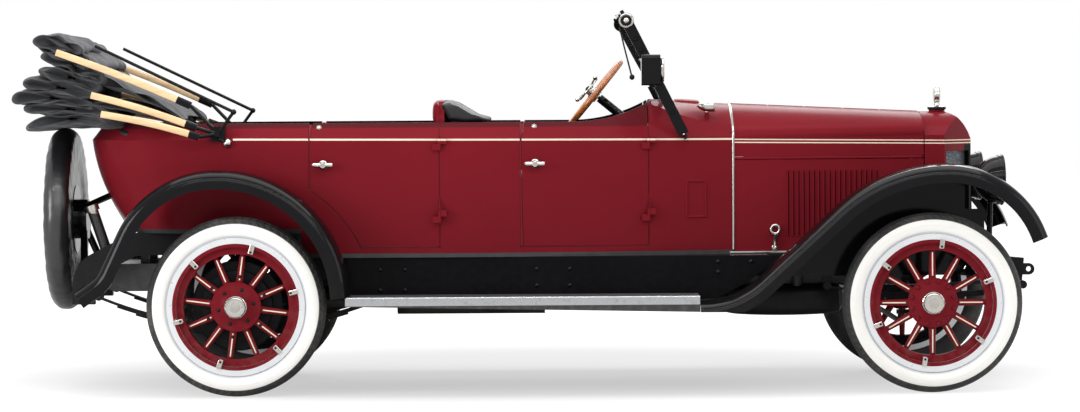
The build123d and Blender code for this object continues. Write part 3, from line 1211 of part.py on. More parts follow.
# Wheels and tyres, drawn about the Y axis with the outer side towards -Y
with BuildPart() as tyre_form:
    with BuildSketch(Plane.YZ):
        with BuildLine():
            half = BEAD_W / 2
            seat_r = RIM_R + FIT
            wall = ThreePointArc((half, RIM_FLANGE_R + 1), (TYRE_W / 2, RIM_FLANGE_R + 45), (half + 6, TYRE_R - 14))
            tread = ThreePointArc(wall @ 1, (0, TYRE_R), (-half - 6, TYRE_R - 14))
            wall_in = ThreePointArc(tread @ 1, (-TYRE_W / 2, RIM_FLANGE_R + 45), (-half, RIM_FLANGE_R + 1))
            Polyline(wall_in @ 1, (-half, seat_r), (half, seat_r), wall @ 0)
        make_face()
    revolve(axis=Axis.Y)


def wheel_form(bore_r, spoke_turn, drum):
    """Wood wheel with its steel rim: bore radius, turn of the spokes and a brake drum or none."""
    with BuildPart() as form:
        with BuildSketch(Plane.YZ):
            felloe_mid = (FELLOE_IN_R + FELLOE_OUT_R) / 2
            rim_half = BEAD_W / 2 + FIT + RIM_FLANGE_T
            with Locations((0, felloe_mid)):
                Rectangle(FELLOE_W, FELLOE_OUT_R - FELLOE_IN_R)
            with Locations((0, (FELLOE_OUT_R + RIM_R) / 2)):
                Rectangle(2 * rim_half, RIM_R - FELLOE_OUT_R)
            for end in (-1, 1):
                with Locations((end * (rim_half - RIM_FLANGE_T / 2), (FELLOE_OUT_R + RIM_FLANGE_R) / 2)):
                    Rectangle(RIM_FLANGE_T, RIM_FLANGE_R - FELLOE_OUT_R)
            with Locations((0, (bore_r + MITRE_R) / 2)):
                Rectangle(MITRE_W, MITRE_R - bore_r)
            with Locations(((HUB_IN - HUB_OUT) / 2, (bore_r + HUB_R) / 2)):
                Rectangle(HUB_IN + HUB_OUT, HUB_R - bore_r)
            with Locations((-HUB_OUT - HUB_CAP_L / 2, HUB_CAP_R / 2)):
                Rectangle(HUB_CAP_L, HUB_CAP_R)
            if drum:
                drum_in = MITRE_W / 2
                drum_out = HUB_IN + DRUM_W - 6
                with Locations(((drum_in + drum_out) / 2, DRUM_R - DRUM_T / 2)):
                    Rectangle(drum_out - drum_in, DRUM_T)
                with Locations((drum_in + DRUM_T / 2, (bore_r + DRUM_R) / 2)):
                    Rectangle(DRUM_T, DRUM_R - bore_r)
        revolve(axis=Axis.Y)
        spoke_l = FELLOE_IN_R - MITRE_R + 30
        with Locations(Plane.XZ):
            with PolarLocations((FELLOE_IN_R + MITRE_R) / 2 - 8, SPOKES, spoke_turn):
                Cone(SPOKE_ROOT_R, SPOKE_TIP_R, spoke_l, rotation=(0, 90, 0))
            with PolarLocations(FELLOE_OUT_R - 10, RIM_LUGS, 21.5 + spoke_turn):
                with Locations((0, 0, FELLOE_W / 2)):
                    Box(30, 18, 14)
        fillet(form.faces().sort_by(Axis.Y)[0].edges(), radius=12)
    return form.part


front_wheel = wheel_form(SPINDLE_R + FIT, 0, False)
rear_wheel = wheel_form(AXLE_STUB_R + FIT, REAR_SPOKE_TURN, True)
AXLES = (("front", FRONT_AXLE_X, front_wheel), ("rear", REAR_AXLE_X, rear_wheel))
for axle_name, axle_x, form in AXLES:
    for side_name, side in SIDES:
        turned = (0, 0, 0) if side < 0 else (0, 0, 180)
        with BuildPart() as wheel:
            with Locations((axle_x, side * TRACK / 2, TYRE_R)):
                add(form, rotation=turned)
        save(wheel, f"wheel_{axle_name}_{side_name}")
        with BuildPart() as tyre:
            with Locations((axle_x, side * TRACK / 2, TYRE_R)):
                add(tyre_form.part, rotation=turned)
        save(tyre, f"tyre_{axle_name}_{side_name}")
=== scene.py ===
"""Open touring car of the nineteen-twenties: its trim, upholstery, folded top, finishes and stage."""

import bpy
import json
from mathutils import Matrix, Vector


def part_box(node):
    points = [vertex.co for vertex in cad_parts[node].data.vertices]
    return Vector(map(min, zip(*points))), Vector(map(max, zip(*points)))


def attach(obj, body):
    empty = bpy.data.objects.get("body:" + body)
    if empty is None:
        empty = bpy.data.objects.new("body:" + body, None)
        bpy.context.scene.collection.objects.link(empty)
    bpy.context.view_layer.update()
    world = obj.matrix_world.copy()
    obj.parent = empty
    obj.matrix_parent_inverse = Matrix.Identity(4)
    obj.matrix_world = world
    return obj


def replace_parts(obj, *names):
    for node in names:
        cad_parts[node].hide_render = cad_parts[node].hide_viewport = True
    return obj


bl_info = {
    "name": "Open Touring Car",
    "version": (1, 0, 0),
    "blender": (4, 5, 0),
    "location": "3D View > Sidebar > Touring Car",
    "description": "Dresses the packed touring car with trim, upholstery, finishes and a stage",
    "category": "Object",
}

import json
from math import cos, pi, radians, sin

import bmesh
import bpy
import numpy as np
from bpy.props import FloatProperty, FloatVectorProperty, PointerProperty
from mathutils import Matrix, Vector

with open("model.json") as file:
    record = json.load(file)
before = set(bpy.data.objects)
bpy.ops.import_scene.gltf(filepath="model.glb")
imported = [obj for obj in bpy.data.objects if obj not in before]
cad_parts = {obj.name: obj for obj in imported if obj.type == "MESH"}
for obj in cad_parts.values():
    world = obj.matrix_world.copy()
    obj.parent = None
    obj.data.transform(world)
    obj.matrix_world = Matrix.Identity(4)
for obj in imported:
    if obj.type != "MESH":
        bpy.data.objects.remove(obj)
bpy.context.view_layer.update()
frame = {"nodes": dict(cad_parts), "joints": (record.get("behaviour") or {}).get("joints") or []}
NODES = frame["nodes"]
HINGES = {joint["name"]: joint for joint in frame["joints"]}
SIDES = (("left", 1), ("right", -1))
AXLES = ("front", "rear")
X_AXIS = np.array((1.0, 0.0, 0.0))
Y_AXIS = np.array((0.0, 1.0, 0.0))
Z_AXIS = np.array((0.0, 0.0, 1.0))


def colour_property(name, words, default):
    """A colour that a user may change."""
    return FloatVectorProperty(name=name, description=words, default=default, size=3, min=0, max=1,
                               subtype="COLOR")


def length_property(name, words, default):
    """A length in metres that a user may change."""
    return FloatProperty(name=name, description=words, default=default, min=0, unit="LENGTH", precision=4)


class TouringCarColours(bpy.types.PropertyGroup):
    """Colours of the car's finishes."""

    body: colour_property("Body", "Coach paint of body, hood, radiator shell and wheels", (0.158, 0.0095, 0.0155))
    enamel: colour_property("Enamel", "Black enamel of fenders and irons", (0.004, 0.004, 0.0048))
    chassis: colour_property("Chassis", "Satin paint of frame, axles and springs", (0.009, 0.009, 0.010))
    stripe: colour_property("Stripe", "Pinstripe on body and spokes", (0.84, 0.72, 0.57))
    nickel: colour_property("Nickel", "Plated trim", (0.47, 0.45, 0.42))
    aluminium: colour_property("Aluminium", "Rims, strips and steering spokes", (0.50, 0.51, 0.52))
    leather: colour_property("Leather", "Upholstery", (0.012, 0.012, 0.013))
    canvas: colour_property("Canvas", "Folded top", (0.024, 0.025, 0.029))
    oilcloth: colour_property("Oilcloth", "Cover of the spare wheel", (0.007, 0.007, 0.008))
    bow_wood: colour_property("Bow wood", "Bows of the top", (0.74, 0.51, 0.28))
    rim_wood: colour_property("Rim wood", "Rim of the steering wheel", (0.43, 0.125, 0.022))
    board_wood: colour_property("Board wood", "Instrument board", (0.10, 0.036, 0.016))
    white_wall: colour_property("White wall", "Outer side walls of the tyres", (0.85, 0.835, 0.80))
    rubber: colour_property("Rubber", "Tread, mats and boards", (0.014, 0.014, 0.015))
    dust: colour_property("Dust", "Road dust low on the car", (0.20, 0.17, 0.14))


class TouringCarSizes(bpy.types.PropertyGroup):
    """Sizes of the car's trim and sewing."""

    pleat: length_property("Pleat pitch", "Distance between sewn pleats", 0.062)
    pleat_depth: length_property("Pleat depth", "Depth of a sewn channel", 0.013)
    stripe: length_property("Stripe width", "Width of the belt stripe", 0.009)
    hood_stripe: length_property("Hood stripe width", "Width of each of the two hood stripes", 0.0056)
    bead: length_property("Bead radius", "Radius of the bead where hood meets cowl", 0.007)
    handle: length_property("Handle radius", "Radius of the door handle's grip", 0.0085)
    bow: length_property("Bow width", "Width of a top bow", 0.034)
    crease: length_property("Crease height", "Height of the creases in the folded top", 0.013)


def colours():
    """The colours set in the scene."""
    return bpy.context.scene.touring_car_colours


def sizes():
    """The sizes set in the scene."""
    return bpy.context.scene.touring_car_sizes


# Surfaces: each part is an array of points and an array of quads


def grid_faces(rows, cols, ring_rows=False, ring_cols=False):
    """Quads of a grid of rows by cols points; a ring side also joins its last line to its first."""
    r, c = np.meshgrid(np.arange(rows - (not ring_rows)), np.arange(cols - (not ring_cols)), indexing="ij")
    r_next, c_next = (r + 1) % rows, (c + 1) % cols
    quads = (r * cols + c, r_next * cols + c, r_next * cols + c_next, r * cols + c_next)
    return np.stack(quads, axis=-1).reshape(-1, 4)


def xyz(x, y, z):
    """Points from coordinates, each a number or an array."""
    return np.stack(np.broadcast_arrays(x, y, z), axis=-1)


def unit(v):
    """v divided by its length, along the last axis."""
    v = np.asarray(v, float)
    return v / np.maximum(np.linalg.norm(v, axis=-1, keepdims=True), 1e-12)


def square_to(axis):
    """Two unit vectors that make a right-handed set with axis."""
    axis = unit(axis)
    start = Z_AXIS if abs(axis[2]) < 0.8 else X_AXIS
    first = unit(np.cross(start, axis))
    return first, np.cross(axis, first)


def turned(profile, centre, axis, steps=32):
    """A profile of (radius, height) points spun about axis: centre + height * axis + radius * (cos t, sin t)."""
    profile = np.asarray(profile, float)
    first, second = square_to(axis)
    t = np.linspace(0, 2 * pi, steps, endpoint=False)
    spokes = np.cos(t)[:, None] * first + np.sin(t)[:, None] * second
    points = (np.asarray(centre, float) + profile[:, None, 1:] * unit(axis)
              + profile[:, None, :1] * spokes[None])
    return points.reshape(-1, 3), grid_faces(len(profile), steps, ring_cols=True)


def oval(half_width, half_height, power=2.0, steps=24):
    """A closed loop |a / half_width| ** power + |b / half_height| ** power = 1, from round to a soft box."""
    t = np.linspace(0, 2 * pi, steps, endpoint=False)
    bend = 2 / power
    a = half_width * np.sign(np.cos(t)) * np.abs(np.cos(t)) ** bend
    b = half_height * np.sign(np.sin(t)) * np.abs(np.sin(t)) ** bend
    return np.stack((a, b), axis=-1)


def carried(loop, path, up=(0, 0, 1), ring=False, ends=None):
    """A closed loop carried square to a path; ends scale it at each point, and open ends close on the path."""
    path = np.asarray(path, float)
    if ring:
        along = unit(np.roll(path, -1, axis=0) - np.roll(path, 1, axis=0))
    else:
        along = unit(np.gradient(path, axis=0))
    side = unit(np.cross(along, np.asarray(up, float)))
    over = np.cross(side, along)
    scale = np.ones(len(path)) if ends is None else np.asarray(ends, float)
    offsets = loop[None, :, :1] * side[:, None] + loop[None, :, 1:] * over[:, None]
    points = path[:, None] + offsets * scale[:, None, None]
    if not ring:
        first = np.repeat(points[:1].mean(axis=1, keepdims=True), len(loop), axis=1)
        last = np.repeat(points[-1:].mean(axis=1, keepdims=True), len(loop), axis=1)
        points = np.concatenate((first, points, last))
    return points.reshape(-1, 3), grid_faces(len(points), len(loop), ring_rows=ring, ring_cols=True)


def walked(corners):
    """Distance along a polyline to each of its corners."""
    return np.concatenate(([0], np.cumsum(np.linalg.norm(np.diff(corners, axis=0), axis=1))))


def at_steps(at, walk, corners):
    """Points of a polyline at some distances along it."""
    return np.stack([np.interp(at, walk, column) for column in corners.T], axis=-1)


def curve_through(corners, steps=24, soft=0.06):
    """A polyline walked at even steps and softened by a Gaussian of share soft, with its ends kept."""
    corners = np.asarray(corners, float)
    walk = walked(corners)
    at = np.linspace(0, walk[-1], steps)
    line = at_steps(at, walk, corners)
    gap = np.subtract.outer(at, at) / (walk[-1] * soft)
    reach = np.minimum(at, walk[-1] - at)[:, None] / (walk[-1] * soft)
    weight = np.exp(-gap**2 / 2) * (np.abs(gap) <= reach + 1e-9)
    return weight @ line / weight.sum(axis=1, keepdims=True)


def soft_loop(corners, steps=96, soft=0.02):
    """A closed polygon walked at even steps, its corners rounded by a Gaussian of share soft along the loop."""
    corners = np.asarray(corners, float)
    closed = np.vstack((corners, corners[:1]))
    walk = walked(closed)
    at = np.linspace(0, walk[-1], steps, endpoint=False)
    line = at_steps(at, walk, closed)
    gap = np.subtract.outer(at, at) / walk[-1]
    gap = (gap + 0.5) % 1 - 0.5
    weight = np.exp(-(gap / soft) ** 2 / 2)
    return weight @ line / weight.sum(axis=1, keepdims=True)


def loop_normals(loop):
    """Outward unit normals of a closed loop that is walked anticlockwise."""
    along = unit(np.roll(loop, -1, axis=0) - np.roll(loop, 1, axis=0))
    area = np.sum(loop[:, 0] * np.roll(loop[:, 1], -1) - np.roll(loop[:, 0], -1) * loop[:, 1])
    return np.stack((along[:, 1], -along[:, 0]), axis=-1) * np.sign(area)


def joined(*parts):
    """Several parts as one."""
    starts = np.cumsum([0] + [len(points) for points, quads in parts])
    return (np.concatenate([points for points, quads in parts]),
            np.concatenate([quads + start for (points, quads), start in zip(parts, starts)]))


def copies(points, quads):
    """Like parts as one: an array of points for each, and the quads that they share."""
    starts = np.arange(len(points)) * points.shape[1]
    return points.reshape(-1, 3), (quads[None] + starts[:, None, None]).reshape(-1, 4)


def repeated(part, shifts):
    """A part copied to each of several shifts."""
    points, quads = part
    shifts = np.asarray(shifts, float)
    return copies(points[None] + shifts[:, None], quads)


def round_axis(part, centre, axis, angles):
    """A part copied to several angles about an axis: p cos a + (axis x p) sin a + axis (axis . p)(1 - cos a)."""
    points, quads = part
    axis = unit(axis)
    arm = points - np.asarray(centre, float)
    a = np.asarray(angles, float)[:, None, None]
    along = (arm @ axis)[:, None] * axis
    moved = arm * np.cos(a) + np.cross(axis, arm) * np.sin(a) + along * (1 - np.cos(a))
    return copies(moved + np.asarray(centre, float), quads)


def mirrored(part):
    """A part and its mirror image across the car's centre plane."""
    points, quads = part
    return joined(part, (points * (1, -1, 1), quads[:, ::-1]))


def dome(centre, axis, radius, height, steps=16, rings=5):
    """A bolt head or lens: radius * cos t out and height * sin t along axis, closed by a flat foot."""
    t = np.linspace(0, pi / 2, rings)
    profile = np.concatenate(([(0, 0)], np.stack((radius * np.cos(t), height * np.sin(t)), axis=-1)))
    return turned(profile, centre, axis, steps)


def washer(centre, axis, ring_radius, section_radius, steps=48, sides=10):
    """A ring of round section: ring_radius + section_radius * cos t out, section_radius * sin t along axis."""
    t = np.linspace(0, 2 * pi, sides + 1)
    profile = np.stack((ring_radius + section_radius * np.cos(t), section_radius * np.sin(t)), axis=-1)
    return turned(profile, centre, axis, steps)


def bar(start, end, radius, steps=10, rows=2):
    """A straight round bar with softened ends."""
    share = np.concatenate(([0, 0.01], np.linspace(0.03, 0.97, rows), [0.99, 1]))[:, None]
    path = np.asarray(start, float) * (1 - share) + np.asarray(end, float) * share
    ends = np.concatenate(([0.6, 0.9], np.ones(rows), [0.9, 0.6]))
    run = unit(np.asarray(end, float) - np.asarray(start, float))
    return carried(oval(radius, radius, steps=steps), path, up=square_to(run)[0], ends=ends)


def put_in_scene(name, data):
    """A new object of the scene."""
    made = bpy.data.objects.new(name, data)
    bpy.context.scene.collection.objects.link(made)
    return made


def add_piece(name, part, finish, body="car", crisp=40):
    """Puts a part into a mesh, merges its seams and poles, turns its faces outwards; it rides on a body."""
    points, quads = part
    mesh = bpy.data.meshes.new(name)
    mesh.from_pydata(points.tolist(), [], quads.tolist())
    shell = bmesh.new()
    shell.from_mesh(mesh)
    bmesh.ops.remove_doubles(shell, verts=shell.verts, dist=1e-5)
    bmesh.ops.dissolve_degenerate(shell, edges=shell.edges, dist=1e-6)
    bmesh.ops.recalc_face_normals(shell, faces=shell.faces)
    shell.to_mesh(mesh)
    shell.free()
    mesh.shade_smooth()
    mesh.set_sharp_from_angle(angle=radians(crisp))
    piece = put_in_scene(name, mesh)
    mesh.materials.append(finish)
    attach(piece, body)
    return piece


def skin(node, start, towards):
    """Where a straight line from start meets a CAD node, and the normal there."""
    hit, place, normal, _ = NODES[node].ray_cast(Vector(start), Vector(towards).normalized())
    if not hit:
        raise RuntimeError(f"no surface of {node} from {tuple(start)}")
    return np.array(place), np.array(normal)


# Finishes


def scaled(colour, factor):
    """A colour made lighter or darker, with full alpha."""
    return (*(min(1.0, channel * factor) for channel in colour), 1.0)


MOSTLY_ACROSS = (0.02, 1, 0)


class Finish:
    """A Principled material with short calls for the nodes of its pattern."""

    def __init__(self, name, constants=()):
        self.material = bpy.data.materials.new(name)
        self.material.use_nodes = True
        self.tree = self.material.node_tree
        self.shader = self.tree.nodes["Principled BSDF"]
        self.coordinates = self.tree.nodes.new("ShaderNodeTexCoord")
        self.place = self.coordinates.outputs["Object"]
        self.relief = None
        for socket, value in dict(constants).items():
            self.shader.inputs[socket].default_value = value

    def node(self, kind, **settings):
        """A new node with these settings."""
        made = self.tree.nodes.new(kind)
        for key, value in settings.items():
            setattr(made, key, value)
        return made

    def put(self, socket, value):
        """Links an output to a socket, or sets the socket to a constant."""
        if isinstance(value, bpy.types.NodeSocket):
            self.tree.links.new(value, socket)
        else:
            socket.default_value = value

    def math(self, operation, a, b=0.0):
        """One step of arithmetic."""
        step = self.node("ShaderNodeMath", operation=operation)
        self.put(step.inputs[0], a)
        self.put(step.inputs[1], b)
        return step.outputs[0]

    def plus(self, a, b):
        """a + b"""
        return self.math("ADD", a, b)

    def minus(self, a, b):
        """a - b"""
        return self.math("SUBTRACT", a, b)

    def times(self, *values):
        """The product of several numbers or masks."""
        result = values[0]
        for other in values[1:]:
            result = self.math("MULTIPLY", result, other)
        return result

    def vector(self, operation, a, b=(0, 0, 0), result=0):
        """One step of vector arithmetic."""
        step = self.node("ShaderNodeVectorMath", operation=operation)
        self.put(step.inputs[0], a)
        self.put(step.inputs[1], b)
        return step.outputs[result]

    def axes(self):
        """x, y and z of the car's own frame, in metres."""
        split = self.node("ShaderNodeSeparateXYZ")
        self.put(split.inputs[0], self.place)
        return split.outputs

    def facing(self, direction):
        """How far the surface faces a direction, from -1 to 1."""
        return self.vector("DOT_PRODUCT", self.coordinates.outputs["Normal"], direction, "Value")

    def outward(self, centre):
        """1 where the surface faces away from the lengthwise plane through centre, 0 where it faces it."""
        arm = self.vector("SUBTRACT", self.place, centre)
        level = self.vector("MULTIPLY", arm, MOSTLY_ACROSS)
        away = self.vector("DOT_PRODUCT", level, self.coordinates.outputs["Normal"], "Value")
        return self.mask(away, -0.03, 0.03)

    def mask(self, value, low, high):
        """A soft step from 0 at low to 1 at high."""
        step = self.node("ShaderNodeMapRange", interpolation_type="SMOOTHSTEP")
        for socket, given in zip(step.inputs, (value, low, high, 0.0, 1.0)):
            self.put(socket, given)
        return step.outputs[0]

    def band(self, value, centre, half, soft=0.0006):
        """1 within half of centre, 0 beyond."""
        away = self.math("ABSOLUTE", self.minus(value, centre))
        return self.mask(away, half + soft, half - soft)

    def stretched(self, scale):
        """The place scaled by a different factor along each axis."""
        mapping = self.node("ShaderNodeMapping")
        self.put(mapping.inputs["Vector"], self.place)
        mapping.inputs["Scale"].default_value = scale
        return mapping.outputs[0]

    def noise(self, scale, detail=2.0, place=None):
        """Cloudy noise of a scale in cells per metre."""
        cloud = self.node("ShaderNodeTexNoise")
        self.put(cloud.inputs["Vector"], place or self.place)
        cloud.inputs["Scale"].default_value = scale
        cloud.inputs["Detail"].default_value = detail
        return cloud.outputs[0]

    def cells(self, scale, place=None, feature="F1"):
        """Distance to the nearest of scattered points, in cells per metre."""
        net = self.node("ShaderNodeTexVoronoi", feature=feature)
        self.put(net.inputs["Vector"], place or self.place)
        net.inputs["Scale"].default_value = scale
        return net.outputs["Distance"]

    def mix(self, share, a, b):
        """A colour between a and b."""
        blend = self.node("ShaderNodeMix", data_type="RGBA")
        for index, value in ((0, share), (6, a), (7, b)):
            self.put(blend.inputs[index], value)
        return blend.outputs[2]

    def shade(self, share, colour, low, high):
        """One colour between two strengths of itself."""
        return self.mix(share, scaled(colour, low), scaled(colour, high))

    def level(self, share, low, high):
        """A number from low to high."""
        step = self.node("ShaderNodeMapRange")
        for socket, given in zip(step.inputs, (share, 0.0, 1.0, low, high)):
            self.put(socket, given)
        return step.outputs[0]

    def bump(self, height, depth, strength=1.0):
        """Adds relief of a depth in metres."""
        relief = self.node("ShaderNodeBump")
        relief.inputs["Strength"].default_value = strength
        relief.inputs["Distance"].default_value = depth
        self.put(relief.inputs["Height"], height)
        if self.relief:
            self.put(relief.inputs["Normal"], self.relief)
        self.relief = relief.outputs[0]

    def dusty(self, colour, amount, top=0.85):
        """Road dust over a colour, thicker lower down and broken by noise."""
        low = self.mask(self.axes()[2], top, 0.15)
        broken = self.mask(self.noise(26, 5), 0.35, 0.75)
        share = self.times(low, broken, amount)
        return self.mix(share, colour, (*colours().dust, 1))

    def done(self, colour, roughness, metal=0.0):
        """Connects the pattern to the shader."""
        self.put(self.shader.inputs["Base Color"], colour)
        self.put(self.shader.inputs["Roughness"], roughness)
        self.put(self.shader.inputs["Metallic"], metal)
        if self.relief:
            self.put(self.shader.inputs["Normal"], self.relief)
        return self.material


SHARP = 0.0005
LACQUER = {"Specular IOR Level": 0.015, "Coat Weight": 0.01, "Coat Roughness": 0.03}
BELT_LINES = ((1.2287, -0.0057),)
HOOD_LINES = ((1.2327, -0.0117), (1.2182, -0.0117))
CABIN_CENTRE = (-0.6, 0.0, 1.0)
STRIPE_REAR_X = -1.43
HANDLE_Z = 1.112
HANDLE_AHEAD = 0.048
HANDLE_BAR_R = 0.007
LEAF_COS = 0.9934
LOUVRE_START = 1.004 + 0.270 * LEAF_COS
LOUVRE_PITCH = 0.026 * LEAF_COS
LOUVRE_END = LOUVRE_START + 17 * LOUVRE_PITCH
LOUVRE_Z = 0.905
LOUVRE_HALF = 0.165


def hide(finish, colour):
    """Leather over a colour: cells of grain a few millimetres across, fine pores and soft creases."""
    grain = finish.cells(420)
    finish.bump(grain, 0.0005, 0.5)
    finish.bump(finish.noise(38, 4), 0.0015, 0.25)
    return finish.shade(finish.mask(grain, 0.1, 0.7), colour, 0.7, 1.7)


def coach_paint(name, lines=(), half_stripe=0.0045, lined=False, edged=False, stripe_from=-9.0, patches=()):
    """Maroon coach paint: cloudy tone, cream lines z = height + slope * x, leather lining inside, dark top edge.
    Each patch is a box, in x, |y| and z, that is plated or black instead."""
    c = colours()
    paint = Finish(name, LACQUER)
    x, y, z = paint.axes()
    tone = paint.shade(paint.noise(1.6, 3), c.body, 0.86, 1.14)
    tone = paint.mix(paint.mask(paint.noise(240, 2), 0.62, 0.9), tone, scaled(c.body, 1.5))
    outside = paint.outward(CABIN_CENTRE) if lined else 1.0
    for height, slope in lines:
        line = paint.band(paint.minus(z, paint.times(x, slope)), height, half_stripe)
        hand = paint.level(paint.noise(60, 2), 0.82, 1.0)
        line = paint.times(line, hand, paint.mask(x, stripe_from, stripe_from + 0.004))
        tone = paint.mix(paint.times(line, outside) if lined else line, tone, (*c.stripe, 1))
    tone = paint.dusty(tone, 0.05)
    rough = paint.level(paint.noise(14, 4), 0.16, 0.28)
    if lined:
        paint.bump(paint.times(paint.math("ABSOLUTE", paint.math("SINE", paint.times(x, 52.0))),
                              paint.minus(1.0, outside)), 0.006, 0.8)
        tone = paint.mix(outside, scaled(c.leather, 1.0), tone)
        rough = paint.plus(rough, paint.times(paint.minus(1.0, outside), 0.25))
    if edged:
        edge = paint.times(paint.mask(paint.facing((0, 0, 1)), 0.5, 0.7), paint.mask(z, 1.285, 1.295))
        tone = paint.mix(edge, tone, scaled(c.leather, 0.9))
    metal = 0.0
    for low, high, colour, bright in patches:
        inside = 1.0
        for at, lo, hi in zip((x, paint.math("ABSOLUTE", y), z), low, high):
            inside = paint.times(inside, paint.mask(at, lo - SHARP, lo + SHARP),
                                 paint.mask(at, hi + SHARP, hi - SHARP))
        tone = paint.mix(inside, tone, (*colour, 1))
        metal = paint.times(inside, bright) if bright else metal
    paint.bump(paint.noise(420, 2), 0.0002, 0.15)
    return paint.done(tone, rough, metal)


def enamel(name, colour, rough=(0.05, 0.12), dust=0.03, coat=0.03, gloss=0.12):
    """Black enamel: cloudy depth, fine rubbing marks in the gloss, and dust that gathers low down."""
    paint = Finish(name, {"Specular IOR Level": gloss, "Coat Weight": coat, "Coat Roughness": 0.04})
    tone = paint.shade(paint.noise(3.0, 3), colour, 0.8, 1.5)
    tone = paint.dusty(tone, dust)
    rubbed = paint.noise(9, 5, paint.stretched((1, 4, 4)))
    paint.bump(paint.noise(300, 2), 0.0002, 0.2)
    return paint.done(tone, paint.level(rubbed, *rough))


def plated(name, colour, rough=(0.07, 0.2), brushed=(1, 1, 1)):
    """Plated metal: bright, with cloudy tarnish and fine polishing lines."""
    metal = Finish(name)
    tarnish = metal.mask(metal.noise(30, 5), 0.5, 0.85)
    tone = metal.mix(tarnish, (*colour, 1), scaled(colour, 0.72))
    lines = metal.noise(160, 3, metal.stretched(brushed))
    metal.bump(lines, 0.0002, 0.2)
    return metal.done(tone, metal.level(lines, *rough), 1.0)


def cast_iron(name, colour, grain=320, rough=(0.45, 0.7), depth=0.0012):
    """Sand-cast grey iron: grainy skin with oily patches."""
    iron = Finish(name)
    oily = iron.mask(iron.noise(7, 4), 0.45, 0.7)
    tone = iron.mix(oily, (*colour, 1), scaled(colour, 0.45))
    iron.bump(iron.noise(grain, 3), depth, 0.6)
    return iron.done(tone, iron.level(oily, rough[1], rough[0]))


def timber(name, colour, grain_scale, lacquer=0.5, figure=1.0):
    """Varnished wood: grain rings drawn out along the piece, dark pores and a thin coat."""
    wood = Finish(name, {"Coat Weight": lacquer, "Coat Roughness": 0.12})
    drawn = wood.stretched(grain_scale)
    grain = wood.noise(1.0, 6, drawn)
    pores = wood.mask(wood.noise(4.0, 3, drawn), 0.58, 0.72)
    tone = wood.shade(wood.mask(grain, 0.3, 0.7), colour, 1 - 0.38 * figure, 1 + 0.2 * figure)
    tone = wood.mix(wood.times(pores, 0.5 * figure), tone, scaled(colour, 0.3))
    wood.bump(grain, 0.0006, 0.4)
    return wood.done(tone, wood.level(grain, 0.3, 0.5))


def leather_finish(name):
    """Black leather for pads and seat boxes, with grain, creases and worn, shinier patches."""
    c = colours()
    cover = Finish(name, {"Specular IOR Level": 0.22})
    tone = hide(cover, c.leather)
    worn = cover.mask(cover.noise(6, 3), 0.4, 0.7)
    tone = cover.mix(cover.times(worn, 0.3), tone, scaled(c.leather, 2.6))
    return cover.done(tone, cover.level(worn, 0.5, 0.34))


def canvas_finish(name):
    """Charcoal top canvas: two crossed sets of threads, slubs and faded folds."""
    c = colours()
    cloth = Finish(name, {"Sheen Weight": 0.15})
    x, y, z = cloth.axes()
    warp = cloth.math("SINE", cloth.times(y, 2600.0))
    weft = cloth.math("SINE", cloth.times(cloth.plus(x, z), 2600.0))
    weave = cloth.times(warp, weft)
    slub = cloth.noise(90, 3, cloth.stretched((1, 6, 1)))
    faded = cloth.mask(cloth.noise(5, 4), 0.35, 0.7)
    tone = cloth.shade(faded, c.canvas, 0.7, 1.5)
    tone = cloth.mix(cloth.mask(slub, 0.55, 0.75), tone, scaled(c.canvas, 2.0))
    cloth.bump(weave, 0.0004, 0.4)
    cloth.bump(cloth.noise(22, 4), 0.004, 0.35)
    return cloth.done(tone, cloth.level(slub, 0.72, 0.9))


def oilcloth_finish(name):
    """Black oilcloth: shiny, with fine pebbling and shallow wrinkles."""
    c = colours()
    cover = Finish(name, {"Coat Weight": 0.35, "Coat Roughness": 0.18})
    tone = cover.shade(cover.noise(8, 4), c.oilcloth, 0.7, 2.0)
    tone = cover.dusty(tone, 0.25)
    cover.bump(cover.cells(260), 0.0004, 0.4)
    cover.bump(cover.noise(16, 3), 0.008, 0.45)
    return cover.done(tone, cover.level(cover.noise(12, 4), 0.26, 0.44))


def rubber_finish(name, ribs=0.0):
    """Black rubber mat: matt, dusty, with moulded ribs along the car where ribs gives their number per metre."""
    c = colours()
    mat = Finish(name)
    y = mat.axes()[1]
    tone = mat.shade(mat.noise(18, 5), c.rubber, 0.7, 1.9)
    if ribs:
        mat.bump(mat.math("SINE", mat.times(y, 2 * pi * ribs)), 0.0016, 0.8)
    tone = mat.dusty(tone, 0.3)
    mat.bump(mat.noise(260, 3), 0.0005, 0.4)
    return mat.done(tone, mat.level(mat.noise(9, 3), 0.55, 0.8))


def glass_finish(name, tint):
    """Clear plate glass with faint smears; its tint shows at the edges."""
    pane = Finish(name, {"Transmission Weight": 1.0, "IOR": 1.45})
    smear = pane.mask(pane.noise(7, 5), 0.5, 0.8)
    tone = pane.mix(smear, (*tint, 1), scaled(tint, 0.95))
    return pane.done(tone, pane.level(smear, 0.0, 0.04))


def lens_finish(name):
    """Pressed lamp glass over a bright reflector: upright flutes and a silvery depth."""
    lens = Finish(name, {"Coat Weight": 0.8, "Coat Roughness": 0.03})
    y = lens.axes()[1]
    flutes = lens.math("SINE", lens.times(y, 520.0))
    tone = lens.mix(lens.noise(25, 3), (0.55, 0.57, 0.58, 1), (0.78, 0.80, 0.80, 1))
    lens.bump(flutes, 0.001, 0.5)
    return lens.done(tone, lens.level(flutes, 0.10, 0.2), 0.55)


